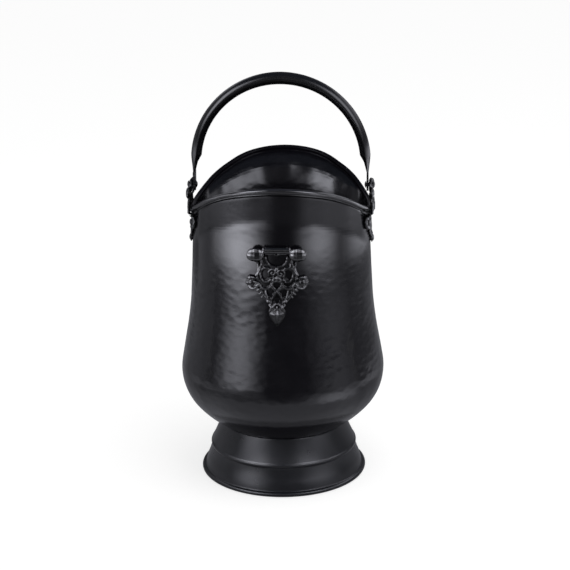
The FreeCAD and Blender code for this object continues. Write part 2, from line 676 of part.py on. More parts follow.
def casting_bar(inner, recess):
    """Bar of a casting: two round lobes, set back by a recess, two collars and a straight middle."""
    thick = size("bar_thick")
    rise = size("bar_rise")
    pieces = []
    for sign in (-1, 1):
        pieces.append(drum(sign * size("lobe_offset"), 0, size("lobe_radius"), inner + recess, inner + thick))
        tall = size("collar_half_height")
        width = size("collar_width")
        corner = Vector(inner, sign * size("collar_offset") - width / 2, rise - tall)
        pieces.append(Part.makeBox(thick, width, 2 * tall, corner))
    half = size("collar_offset") + size("collar_width") / 2
    height = size("bar_half_height")
    middle = rounded_face(Part.makeBox(thick, 2 * half, 2 * height, Vector(inner, -half, rise - height)))
    return middle.multiFuse([rounded_face(piece) for piece in pieces])


def rounded_face(piece):
    """A bar piece with the edges of its outer face rounded."""
    edges = [edge for edge in piece.Edges if edge.BoundBox.XMin > piece.BoundBox.XMax - 1e-6]
    return piece.makeFillet(size("bar_edge") if len(edges) == 1 else size("bar_edge") / 2, edges)


def band(edges):
    """Ring segment about the bucket's axis, wide enough for a casting, from a closed outline."""
    face = Part.Face(Part.Wire(Part.__sortEdges__(edges)))
    face.rotate(Vector(), Vector(0, 0, 1), -CASTING_SWEEP / 2)
    return face.revolve(Vector(), Vector(0, 0, 1), CASTING_SWEEP)


def polyline(points):
    """Straight edges through points."""
    return [Part.LineSegment(a, b).toShape() for a, b in zip(points, points[1:])]


def wall_band(low, high):
    """Band of the web's thickness on the outside of the wall."""
    inner = wall.line(low, high, size("seat_gap"))
    outer = wall.line(low, high, size("web_thick"))
    ends = [polyline([wall.point(z, size("seat_gap")), wall.point(z, size("web_thick"))])[0] for z in (low, high)]
    return band([*inner, *outer, *ends])


def ear_band(low):
    """Band of an ear: on the wall, out over the rim bead, and in again to the bar."""
    bead = size("rim_dip_height")
    thick = size("web_thick")
    gap = size("seat_gap")
    foot = bead - size("ear_bulge_low")
    brow = bead + size("ear_bulge_high")
    over = wall.radius(bead) + size("rim_bead_offset") + size("rim_bead_radius") + gap
    outer = over + size("ear_cover")
    neck_inner = ear_bar_inner + size("ear_lobe_recess")
    head = ear_height - size("lobe_radius") / 2
    step = thick / 2
    points = [
        wall.point(low, gap), wall.point(foot - step, gap), Vector(over, 0, foot), Vector(over, 0, brow),
        Vector(neck_inner, 0, brow + step), Vector(neck_inner, 0, head),
        Vector(ear_bar_outer, 0, head), Vector(ear_bar_outer, 0, brow + step),
        Vector(outer, 0, brow - step), Vector(outer, 0, foot + step),
        wall.point(foot - step, thick), wall.point(low, thick), wall.point(low, gap),
    ]
    return band(polyline(points))


def placed_casting(label, azimuth, shape, drills):
    """A casting turned to its side of the bucket and drilled for its rivets."""
    shape.rotate(Vector(), Vector(0, 0, 1), azimuth)
    blank = solid_object(label + "_blank", shape)
    return cut_object(label, blank, *[drill for drill in drills if drill.Name.startswith(label)])


def front_ornament(drills):
    """Cast ornament on the front: bar, pierced web and a pointed leaf, riveted by its tabs."""
    height = ornament_height
    tip = size("leaf_tip")
    point = across(0, tip)
    top = across(0, size("leaf_top"))
    sides = [Part.Arc(top, across(sign * size("leaf_half"), size("leaf_wide")), point).toShape() for sign in (-1, 1)]
    leaf = extruded(Part.Wire(Part.__sortEdges__(sides)), 0, reach)
    web = casting_web(leaf)
    web.translate(Vector(0, 0, height))
    web = web.common(wall_band(height - tip - size("lobe_radius"), height))
    bar = casting_bar(wall.radius(height) + size("ornament_stand_off"), 0)
    bar.translate(Vector(0, 0, height))
    return placed_casting("front_ornament", FRONT, web.fuse(bar), drills)


def ear(label, azimuth, drills):
    """Cast ear: bar with a pivot boss above the rim, a bulge over the bead and a pierced web on the wall."""
    height = ear_height
    bud = drum(0, size("bud_drop"), size("bud_radius"), 0, reach)
    web = casting_web(bud)
    web.translate(Vector(0, 0, height))
    web = web.common(ear_band(height - size("bud_drop") - 2 * size("bud_radius")))
    boss = drum(0, -size("bar_rise"), size("boss_radius"), ear_bar_inner, ear_bar_outer)
    bar = casting_bar(ear_bar_inner, size("ear_lobe_recess")).fuse(boss)
    bar.translate(Vector(0, 0, height))
    pivot = drum(0, -pivot_height, size("pivot_radius") + size("rivet_fit"), 0, reach)
    return placed_casting(label, azimuth, web.fuse(bar).cut(pivot), drills)


def rivet(name, shank, head, crown, grip, place):
    """Round-headed rivet with a head at each end; its axis is its own Z and its inner head seats at zero."""
    body = document.addObject("PartDesign::Body", name)
    sketch = new_sketch(body, name + "_outline", "XZ_Plane")
    shank_r = size(shank)
    head_r = size(head)
    crown_r = size(crown)
    length = grip
    dome = (head_r ** 2 + crown_r ** 2) / (2 * crown_r)
    lean = math.asin(head_r / dome)
    quarter = math.pi / 2
    low, under, side, over, high, axis = sketch.addGeometry([
        arc(0, dome - crown_r, dome, -quarter, lean - quarter),
        segment((head_r, 0), (shank_r, 0)),
        segment((shank_r, 0), (shank_r, length)),
        segment((shank_r, length), (head_r, length)),
        arc(0, length + crown_r - dome, dome, quarter - lean, quarter),
        segment((0, length + crown_r), (0, -crown_r)),
    ])
    constrain(
        sketch,
        ("Coincident", low, 2, under, 1),
        ("Horizontal", under),
        ("Coincident", under, 2, side, 1),
        ("Vertical", side),
        ("Coincident", side, 2, over, 1),
        ("Horizontal", over),
        ("Coincident", over, 2, high, 1),
        ("Coincident", high, 2, axis, 1),
        ("Coincident", axis, 2, low, 1),
        ("Vertical", axis),
        ("PointOnObject", axis, 1, -2),
        ("PointOnObject", low, 3, -2),
        ("PointOnObject", high, 3, -2),
        ("PointOnObject", side, 1, -1),
    )
    dimension(sketch, "shank", f"Sizes.{shank}", "DistanceX", -1, 1, side, 1, shank_r)
    dimension(sketch, "inner_head", f"Sizes.{head}", "DistanceX", -1, 1, under, 1, head_r)
    dimension(sketch, "outer_head", f"Sizes.{head}", "DistanceX", -1, 1, over, 2, head_r)
    dimension(sketch, "inner_crown", f"Sizes.{crown}", "DistanceY", axis, 2, side, 1, crown_r)
    dimension(sketch, "outer_crown", f"Sizes.{crown}", "DistanceY", side, 2, axis, 1, crown_r)
    constrain(sketch, ("DistanceY", side, 1, side, 2, length))
    turned(body, "PartDesign::Revolution", name + "_turned", sketch)
    body.Placement = place
    return body


def tab_rivets(label, azimuth, lobe_height):
    """The two rivets that hold a casting by its tabs, as one group."""
    group = document.addObject("Part::Compound", label)
    group.Label = label
    height = lobe_height - size("tab_drop")
    head = size("tab_rivet_head")
    inside = wall.radius(height) - size("body_sheet")
    sag = inside - math.sqrt(inside ** 2 - head ** 2) + size("seat_gap")
    depth = size("body_sheet") + sag
    grip = depth + size("web_thick") + size("seat_gap")
    links = []
    for number, place in enumerate(tab_places(azimuth, lobe_height), start=1):
        seat = place.multiply(Placement(Vector(0, 0, -depth), Rotation()))
        links.append(rivet(f"{label}_{number}", "tab_rivet_radius", "tab_rivet_head", "tab_rivet_crown", grip, seat))
    group.Links = links
    return group


def pivot_rivet(label, azimuth):
    """Rivet that carries one end of the bail: through the flat end and the ear's boss."""
    gap = size("bail_side_gap")
    start = strip_inner - gap
    grip = ear_bar_outer + size("seat_gap") - start
    turn = Rotation(Vector(0, 0, 1), azimuth).multiply(Rotation(Vector(0, 1, 0), 90))
    where = Rotation(Vector(0, 0, 1), azimuth).multVec(Vector(start, 0, pivot_height))
    return rivet(label, "pivot_radius", "pivot_head", "pivot_crown", grip, Placement(where, turn))


def lens(middle, across_axis, along_axis, half_thick, half_width):
    """Section of a squeezed tube: two arcs that meet in a fore and an aft edge."""
    fore = middle - along_axis * half_width
    aft = middle + along_axis * half_width
    return Part.Wire([
        Part.Arc(fore, middle + across_axis * half_thick, aft).toShape(),
        Part.Arc(aft, middle - across_axis * half_thick, fore).toShape(),
    ])


def bail_handle():
    """Swinging bail: a tube arch, squeezed towards its legs, pinched flat and drilled for its pivots."""
    arch_z = pivot_height + size("bail_arch_rise")
    radius = ear_bar_inner - size("bail_leg_inset")
    tube = size("bail_tube_radius")
    out, fore, up = Vector(1, 0, 0), Vector(0, 1, 0), Vector(0, 0, 1)
    crown = Vector(0, 0, arch_z + radius)
    leg = Vector(radius, 0, arch_z)
    diagonal = Vector(radius / math.sqrt(2), 0, arch_z + radius / math.sqrt(2))
    strip_middle = (strip_inner + strip_outer) / 2
    pinch = Vector(strip_middle, 0, pivot_height + size("bail_pinch_rise"))
    path = Part.Wire(Part.Arc(crown, diagonal, leg).toShape())
    leg_lens = lens(leg, out, fore, size("bail_leg_thick") / 2, size("bail_leg_width") / 2)
    arch = path.makePipeShell([lens(crown, up, fore, tube, tube), leg_lens], True, False)
    flat_half = size("bail_strip_thick") / 2 + size("seat_gap")
    flat_lens = lens(pinch, out, fore, flat_half, size("bail_strip_width") / 2)
    taper = Part.makeLoft([leg_lens, flat_lens], True, True)
    eye = size("bail_eye_radius")
    half = size("bail_strip_width") / 2
    drop = size("bail_pinch_rise") + size("bail_strip_thick") / 2
    top = pivot_height + drop
    lean = math.atan2(half - eye, drop)
    side = eye * math.cos(lean)
    side_z = pivot_height + eye * math.sin(lean)
    outline = [Vector(strip_inner, half, top), Vector(strip_inner, side, side_z),
               Vector(strip_inner, 0, pivot_height - eye), Vector(strip_inner, -side, side_z),
               Vector(strip_inner, -half, top)]
    tongue = Part.Face(Part.Wire([
        Part.LineSegment(outline[0], outline[1]).toShape(),
        Part.Arc(outline[1], outline[2], outline[3]).toShape(),
        Part.LineSegment(outline[3], outline[4]).toShape(),
        Part.LineSegment(outline[4], outline[0]).toShape(),
    ])).extrude(Vector(size("bail_strip_thick"), 0, 0))
    side_half = arch.fuse([taper, tongue])
    bore = drum(0, -pivot_height, size("pivot_radius") + size("pivot_fit"), 0, reach)
    right = side_half.cut(bore)
    return solid_object("bail_handle", right.fuse(right.mirror(Vector(), Vector(1, 0, 0))).removeSplitter())


def build():
    """All sub-parts of the bucket, in the order they are put together."""
    drills = tab_drills()
    parts = [
        bucket_shell(drills),
        foot_skirt(),
        ear("right_ear", RIGHT, drills),
        ear("left_ear", LEFT, drills),
        front_ornament(drills),
        bail_handle(),
    ]
    for name, (azimuth, height) in CASTINGS.items():
        parts.append(tab_rivets(name + "_rivets", azimuth, height))
    parts.append(pivot_rivet("right_pivot_rivet", RIGHT))
    parts.append(pivot_rivet("left_pivot_rivet", LEFT))
    document.recompute()
    return parts


def check(parts):
    """Stop if any object of the document failed or any sub-part has no sound shape."""
    for item in document.Objects:
        if "Invalid" in item.State or "Error" in item.State:
            raise RuntimeError(f"{item.Name} failed: {item.State}")
    for part in parts:
        if part.Shape.isNull() or not part.Shape.isValid():
            raise RuntimeError(f"{part.Label} has no valid shape")


def export(parts):
    """Write each sub-part to a file of its own name."""
    os.makedirs("parts", exist_ok=True)
    for part in parts:
        part.Shape.exportStep(f"parts/{part.Label}.step")
        print(part.Label, len(part.Shape.Solids), round(part.Shape.Volume, 1))


sub_parts = build()
check(sub_parts)
export(sub_parts)
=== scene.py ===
"""Looks of a hammered coal bucket: shell, spun foot, pierced castings, rivets and a swinging bail.

Sizes are in millimetres up to the point where a mesh is made, and in metres in the scene.
"""

import logging
import math
from collections.abc import Iterable, Mapping, Sequence
from dataclasses import dataclass
from enum import Enum

import bmesh
import bpy
import numpy as np
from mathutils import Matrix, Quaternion, Vector


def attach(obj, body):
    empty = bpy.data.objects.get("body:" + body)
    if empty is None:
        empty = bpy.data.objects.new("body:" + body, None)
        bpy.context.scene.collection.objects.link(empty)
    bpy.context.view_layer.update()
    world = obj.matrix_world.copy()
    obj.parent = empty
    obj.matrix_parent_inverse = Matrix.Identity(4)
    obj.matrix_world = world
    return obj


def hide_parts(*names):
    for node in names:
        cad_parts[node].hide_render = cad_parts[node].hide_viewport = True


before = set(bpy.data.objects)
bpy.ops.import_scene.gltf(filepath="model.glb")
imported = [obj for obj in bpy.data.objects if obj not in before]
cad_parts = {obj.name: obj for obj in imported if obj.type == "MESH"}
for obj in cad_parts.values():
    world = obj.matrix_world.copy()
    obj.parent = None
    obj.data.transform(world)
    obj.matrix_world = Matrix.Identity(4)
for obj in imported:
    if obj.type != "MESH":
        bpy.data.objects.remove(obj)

LOG = logging.getLogger("coal_bucket")
MM = 0.001
TINY = 1e-6
MIRROR = np.array([-1.0, 1.0, 1.0])
Array = np.ndarray
Item = bpy.types.Object
Tree = bpy.types.NodeTree
Socket = bpy.types.NodeSocket
Node = bpy.types.Node
Paint = bpy.types.Material
Span = tuple[float, float]
Point = tuple[float, float, float]
Faces = list[Sequence[int]]
Skin = tuple[Array, Faces]


class Body(Enum):
    """Bodies of the frame that pieces ride on."""

    BUCKET = "bucket"
    BAIL = "bail"


class Surface(Enum):
    """How a painted metal surface was made, which decides its relief."""

    HAMMERED = "hammered"
    SPUN = "spun"
    CAST = "cast"
    DRAWN = "drawn"


class Tail(Enum):
    """What hangs at the lower end of a casting."""

    LEAF = "leaf"
    BUD = "bud"


def linear(hex_code: str) -> tuple[float, float, float, float]:
    """Turn an sRGB hex colour into linear light.

    Args:
        hex_code: Six hex digits.

    Returns:
        Red, green and blue in linear light, and an alpha of one.
    """
    parts = [int(hex_code[start:start + 2], 16) / 255 for start in (0, 2, 4)]
    red, green, blue = (p / 12.92 if p <= 0.04045 else ((p + 0.055) / 1.055) ** 2.4 for p in parts)
    return red, green, blue, 1.0


def ease(low: float, high: float, value: Array) -> Array:
    """Rise smoothly from zero to one between two values.

    Args:
        low: Where the rise starts.
        high: Where the rise ends.
        value: Numbers to place on the rise.

    Returns:
        Numbers from zero to one.
    """
    share = np.clip((value - low) / (high - low), 0.0, 1.0)
    return share * share * (3 - 2 * share)


def turns(count: int) -> Array:
    """Step once round.

    Args:
        count: Number of steps.

    Returns:
        The angle of each step, from zero.
    """
    return np.arange(count) * 2 * math.pi / count


def compass(azimuth: Array) -> Array:
    """Find level directions from the bucket's axis.

    Args:
        azimuth: Angles from the front.

    Returns:
        X and Y of each direction.
    """
    return np.stack([np.sin(azimuth), -np.cos(azimuth)], axis=1)


def arc(middle: Sequence[float], radius: float, angles: Array) -> Array:
    """Lay out points on an arc.

    Args:
        middle: Its centre.
        radius: Its radius.
        angles: Angles from the first axis.

    Returns:
        One point for each angle.
    """
    return np.stack([middle[0] + radius * np.cos(angles), middle[1] + radius * np.sin(angles)], axis=1)


def revolve(section: Iterable[Sequence[float]], around: Array) -> list[Array]:
    """Turn a section into level rows of points.

    Args:
        section: Radius and height of each row.
        around: Direction of each point from the axis.

    Returns:
        The points of each row.
    """
    return [np.column_stack([around * radius, np.full(len(around), height)]) for radius, height in section]


def grid_faces(rows: int, columns: int, closed: bool = False) -> Faces:
    """List the faces between rows of points that each run once round.

    Args:
        rows: Number of rows.
        columns: Points in a row.
        closed: Whether the last row joins the first one.

    Returns:
        Four point numbers for each face.
    """
    row, column = np.meshgrid(np.arange(rows if closed else rows - 1), np.arange(columns), indexing="ij")
    after = (column + 1) % columns
    near, far = row * columns, (row + 1) % rows * columns
    corners = (near + column, near + after, far + after, far + column)
    return [tuple(face) for face in np.stack(corners, axis=-1).reshape(-1, 4).tolist()]


def tube_faces(rows: int, columns: int) -> Faces:
    """List the faces of rows that each run once round, with the first and the last row filled.

    Args:
        rows: Number of rows.
        columns: Points in a row.

    Returns:
        Point numbers of each face.
    """
    count = rows * columns
    return [*grid_faces(rows, columns), tuple(range(columns))[::-1], tuple(range(count - columns, count))]


def pole_faces(rows: int, columns: int) -> Faces:
    """List the faces of rows that each run once round, closed at both ends by a pole that follows the rows.

    Args:
        rows: Number of rows.
        columns: Points in a row.

    Returns:
        Point numbers of each face.
    """
    faces = grid_faces(rows, columns)
    last, pole = (rows - 1) * columns, rows * columns
    for column in range(columns):
        after = (column + 1) % columns
        faces += [(pole, after, column), (pole + 1, last + column, last + after)]
    return faces


def add_node(tree: Tree, kind: str, inputs: Mapping[str | int, object] | None = None,
             **settings: object) -> Node:
    """Add a node, set its properties, and set or link its inputs.

    Args:
        tree: Node tree that gets the node.
        kind: The node's type name.
        inputs: Values or output sockets, by the input's name or number.
        **settings: Properties of the node.

    Returns:
        The new node.
    """
    node = tree.nodes.new(kind)
    for name, value in settings.items():
        setattr(node, name, value)
    for key, value in (inputs or {}).items():
        if isinstance(value, Socket):
            tree.links.new(value, node.inputs[key])
        else:
            node.inputs[key].default_value = value
    return node


def layer_value(tree: Tree, name: str) -> Socket:
    """Read one of a piece's own numbers in its material.

    Args:
        tree: The material's nodes.
        name: Name of the numbers.

    Returns:
        Socket of the number.
    """
    return add_node(tree, "ShaderNodeAttribute", attribute_name=name).outputs["Fac"]


def new_piece(name: str, points: Array, faces: Iterable[Sequence[int]], smooth: bool = True) -> Item:
    """Make a mesh object from points in millimetres, with its faces turned outwards.

    Args:
        name: Name of the object and its mesh.
        points: One row of three numbers for each point.
        faces: Point numbers of each face.
        smooth: Whether its shading runs smoothly over the faces.

    Returns:
        The object, at the origin.
    """
    mesh = bpy.data.meshes.new(name)
    mesh.from_pydata((np.asarray(points) * MM).tolist(), [], list(faces))
    work = bmesh.new()
    work.from_mesh(mesh)
    bmesh.ops.recalc_face_normals(work, faces=work.faces[:])
    work.to_mesh(mesh)
    work.free()
    mesh.polygons.foreach_set("use_smooth", [smooth] * len(mesh.polygons))
    mesh.update()
    item = bpy.data.objects.new(name, mesh)
    bpy.context.scene.collection.objects.link(item)
    return item


def add_layer(item: Item, name: str, values: Array) -> None:
    """Give each point of a piece its own number.

    Args:
        item: Piece that gets the numbers.
        name: Name of the numbers.
        values: One number for each point.
    """
    layer = item.data.attributes.new(name, "FLOAT", "POINT")
    layer.data.foreach_set("value", np.asarray(values, np.float32).reshape(-1))


def settle(item: Item) -> None:
    """Turn a piece and its modifiers into a plain mesh.

    Args:
        item: Piece whose modifiers are used up.
    """
    evaluated = item.evaluated_get(bpy.context.evaluated_depsgraph_get())
    mesh = bpy.data.meshes.new_from_object(evaluated)
    item.modifiers.clear()
    old = item.data
    item.data = mesh
    bpy.data.meshes.remove(old)
    mesh.name = item.name


def give_nodes(item: Item, tree: Tree, values: Mapping[str, object]) -> None:
    """Shape a piece by a node tree with named inputs, and keep the plain mesh.

    Args:
        item: Piece that gets the tree.
        tree: Geometry node tree.
        values: Values of the tree's inputs by name.
    """
    modifier = item.modifiers.new(tree.name, "NODES")
    modifier.node_group = tree
    for entry in tree.interface.items_tree:
        if entry.in_out == "INPUT" and entry.name in values:
            modifier[entry.identifier] = values[entry.name]
    settle(item)


def new_tree(name: str, inputs: Mapping[str, str]) -> tuple[Tree, Node]:
    """Start a geometry node tree that takes and gives a geometry.

    Args:
        name: Name of the tree.
        inputs: Socket type of each named input.

    Returns:
        The tree and its input node.
    """
    tree = bpy.data.node_groups.new(name, "GeometryNodeTree")
    tree.interface.new_socket("Geometry", in_out="INPUT", socket_type="NodeSocketGeometry")
    for label, kind in inputs.items():
        tree.interface.new_socket(label, in_out="INPUT", socket_type=kind)
    tree.interface.new_socket("Geometry", in_out="OUTPUT", socket_type="NodeSocketGeometry")
    return tree, add_node(tree, "NodeGroupInput")


def end_tree(tree: Tree, geometry: Socket, material: Socket) -> None:
    """End a geometry node tree with real geometry and its material.

    Args:
        tree: Tree to end.
        geometry: What the tree has made.
        material: Input that holds the material.
    """
    real = add_node(tree, "GeometryNodeRealizeInstances", {"Geometry": geometry})
    dressed = add_node(tree, "GeometryNodeSetMaterial", {"Geometry": real.outputs[0], "Material": material})
    add_node(tree, "NodeGroupOutput", {0: dressed.outputs[0]})


def put_on(item: Item, body: Body, slot: str, *nodes: str) -> None:
    """Hang a finished piece on its body, in place of the frame's plain nodes.

    Args:
        item: Finished piece.
        body: Body that it moves with.
        slot: Material slot of the record; not used.
        *nodes: Nodes that it stands for.
    """
    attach(item, body.value)
    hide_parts(*nodes)
    LOG.info("%s: %d faces, for %s", item.name, len(item.data.polygons), ", ".join(nodes))


# Noise values between which the paint turns from clean to dusty, and between which it gets rougher.
DUST_STOPS = (0.42, 0.74)
ROUGH_STOPS = (0.3, 0.7)
# Hammer marks are wider than tall, and turning rings are long round the foot.
MARK_STRETCH = 1.5
RING_STRETCH = 0.02
# What changes the gloss, which paints light and shade: a number of the piece, its range, the gloss at its
# ends, and whether it stops there. The castings mirror less in their low parts and more on their raised parts:
# painted
# shade in the recesses and painted glints on top. The shell's bead mirrors less at the back and more at the
# front:
# painted shade at the back and a painted highlight at the front.
GLOSS_FOR_PAINTED_LIGHT = {Surface.CAST: ("relief", (0.25, 0.8), (0.2, 0.85), True),
         Surface.HAMMERED: ("worn", (0.0, 1.0), (0.5, 0.06), False)}


@dataclass(frozen=True)
class PaintedMetal:
    """Black paint on steel or iron; the relief of the metal shows through it.

    Attributes:
        name: Name of the material.
        surface: How the metal under the paint was made.
        colour: Paint where it is clean, in sRGB.
        bloom: Paint where it is rubbed or dusty, in sRGB.
        roughness: Roughness where the paint is at its smoothest.
        roughness_spread: How much rougher the paint gets in patches.
        patch: Width of those patches in millimetres.
        grain: Width of the paint's own grain in millimetres.
        grain_depth: Depth of that grain in millimetres.
        mark: Width of the metal's marks in millimetres.
        mark_depth: Depth of those marks in millimetres.
        ior: Index of refraction of the paint, which sets how much it mirrors.
    """

    name: str
    surface: Surface
    colour: str
    bloom: str
    roughness: float
    roughness_spread: float
    patch: float
    grain: float
    grain_depth: float
    mark: float
    mark_depth: float
    ior: float

    def build(self) -> Paint:
        """Build the material's nodes.

        Returns:
            The material.
        """
        material = bpy.data.materials.new(self.name)
        material.use_nodes = True
        tree = material.node_tree
        shader = tree.nodes["Principled BSDF"]
        shader.inputs["Metallic"].default_value = 0.0
        shader.inputs["IOR"].default_value = self.ior
        where = add_node(tree, "ShaderNodeTexCoord").outputs["Object"]
        patches = add_node(tree, "ShaderNodeTexNoise",
                           {"Vector": where, "Scale": 1 / (self.patch * MM), "Detail": 3.0, "Roughness": 0.6})
        paint = add_node(tree, "ShaderNodeValToRGB", {"Fac": patches.outputs["Fac"]})
        for stop, place, colour in zip(paint.color_ramp.elements, DUST_STOPS, (self.colour, self.bloom)):
            stop.position = place
            stop.color = linear(colour)
        tree.links.new(paint.outputs["Color"], shader.inputs["Base Color"])
        gloss = add_node(tree, "ShaderNodeMapRange", {
            "Value": patches.outputs["Fac"], "From Min": ROUGH_STOPS[0], "From Max": ROUGH_STOPS[1],
            "To Min": self.roughness, "To Max": self.roughness + self.roughness_spread})
        tree.links.new(gloss.outputs["Result"], shader.inputs["Roughness"])
        # The specular level follows a number of the piece: painted shade where it is low and painted highlight
        # where it is high.
        if self.surface in GLOSS_FOR_PAINTED_LIGHT:
            name, given, level, stops = GLOSS_FOR_PAINTED_LIGHT[self.surface]
            painted_light_gloss = add_node(tree, "ShaderNodeMapRange", {
                "Value": layer_value(tree, name), "From Min": given[0], "From Max": given[1],
                "To Min": level[0], "To Max": level[1]}, clamp=stops)
            tree.links.new(painted_light_gloss.outputs["Result"], shader.inputs["Specular IOR Level"])
        grain = add_node(tree, "ShaderNodeTexNoise",
                         {"Vector": where, "Scale": 1 / (self.grain * MM), "Detail": 2.0})
        skin = add_node(tree, "ShaderNodeBump", {
            "Height": grain.outputs["Fac"], "Distance": self.grain_depth * MM,
            "Normal": self.relief(tree, where)})
        tree.links.new(skin.outputs["Normal"], shader.inputs["Normal"])
        return material

    def relief(self, tree: Tree, where: Socket) -> Socket:
        """Add the relief of the metal under the paint.

        Args:
            tree: The material's nodes.
            where: Place on the object.

        Returns:
            Socket of the shaded normal.
        """
        scale = 1 / (self.mark * MM)
        inputs: dict[str | int, object] = {"Distance": self.mark_depth * MM, "Strength": 1.0}
        if self.surface is Surface.HAMMERED:
            lean = add_node(tree, "ShaderNodeBump", {
                "Height": layer_value(tree, "flare"), "Distance": 1.0,
                "Strength": layer_value(tree, "sheet")})
            inputs["Normal"] = lean.outputs["Normal"]
            inputs["Strength"] = layer_value(tree, "hammer")
            cells = add_node(tree, "ShaderNodeMapping",
                             {"Vector": where, "Scale": (scale, scale, MARK_STRETCH * scale)})
            marks = add_node(tree, "ShaderNodeTexVoronoi", {
                "Vector": cells.outputs[0], "Scale": 1.0, "Randomness": 0.85, "Smoothness": 0.5},
                feature="SMOOTH_F1").outputs["Distance"]
        elif self.surface is Surface.SPUN:
            rings = add_node(tree, "ShaderNodeMapping", {
                "Vector": where, "Scale": (RING_STRETCH * scale, RING_STRETCH * scale, scale)})
            marks = add_node(tree, "ShaderNodeTexNoise",
                             {"Vector": rings.outputs[0], "Scale": 1.0}).outputs["Fac"]
        else:
            lumps = add_node(tree, "ShaderNodeTexNoise", {"Vector": where, "Scale": scale})
            if self.surface is Surface.CAST:
                lumps.inputs["Detail"].default_value = 4.0
            marks = lumps.outputs["Fac"]
        return add_node(tree, "ShaderNodeBump", {"Height": marks, **inputs}).outputs["Normal"]


# Satin enamel on hammered sheet: a black skin whose soft highlights break up over the hammer marks.
HAMMERED_STEEL = PaintedMetal(
    name="satin_enamel_on_hammered_steel", surface=Surface.HAMMERED, colour="0c0b10", bloom="111015",
    roughness=0.17, roughness_spread=0.05, patch=30.0, grain=0.9, grain_depth=0.006, mark=11.5,
    mark_depth=0.28, ior=1.43)
# Satin enamel on spun sheet: smoother and a little greyer, with faint turning rings.
SPUN_STEEL = PaintedMetal(
    name="satin_enamel_on_spun_steel", surface=Surface.SPUN, colour="111217", bloom="16171c",
    roughness=0.27, roughness_spread=0.05, patch=24.0, grain=0.7, grain_depth=0.004, mark=1.6,
    mark_depth=0.006, ior=1.45)
# Gloss enamel on a sand casting: small hard glints on a slightly lumpy skin. Its gloss follows its relief,
# which paints shade into the recesses and brighter glints on the raised parts.
CAST_IRON = PaintedMetal(
    name="gloss_enamel_on_cast_iron", surface=Surface.CAST, colour="08080a", bloom="0e0e10",
    roughness=0.11, roughness_spread=0.08, patch=8.0, grain=0.5, grain_depth=0.02, mark=2.2,
    mark_depth=0.10, ior=1.52)
# Gloss enamel on rivet heads that were dressed with a hammer.
RIVET_STEEL = PaintedMetal(
    name="gloss_enamel_on_rivet_steel", surface=Surface.DRAWN, colour="08080a", bloom="0e0e10",
    roughness=0.15, roughness_spread=0.08, patch=6.0, grain=0.5, grain_depth=0.01, mark=1.6,
    mark_depth=0.05, ior=1.5)
# Satin enamel on drawn tube: the smoothest of the satin pieces, with a long soft highlight.
BAIL_STEEL = PaintedMetal(
    name="satin_enamel_on_drawn_tube", surface=Surface.DRAWN, colour="0a0a0d", bloom="0f0f12",
    roughness=0.21, roughness_spread=0.05, patch=20.0, grain=1.6, grain_depth=0.002, mark=9.0,
    mark_depth=0.02, ior=1.43)


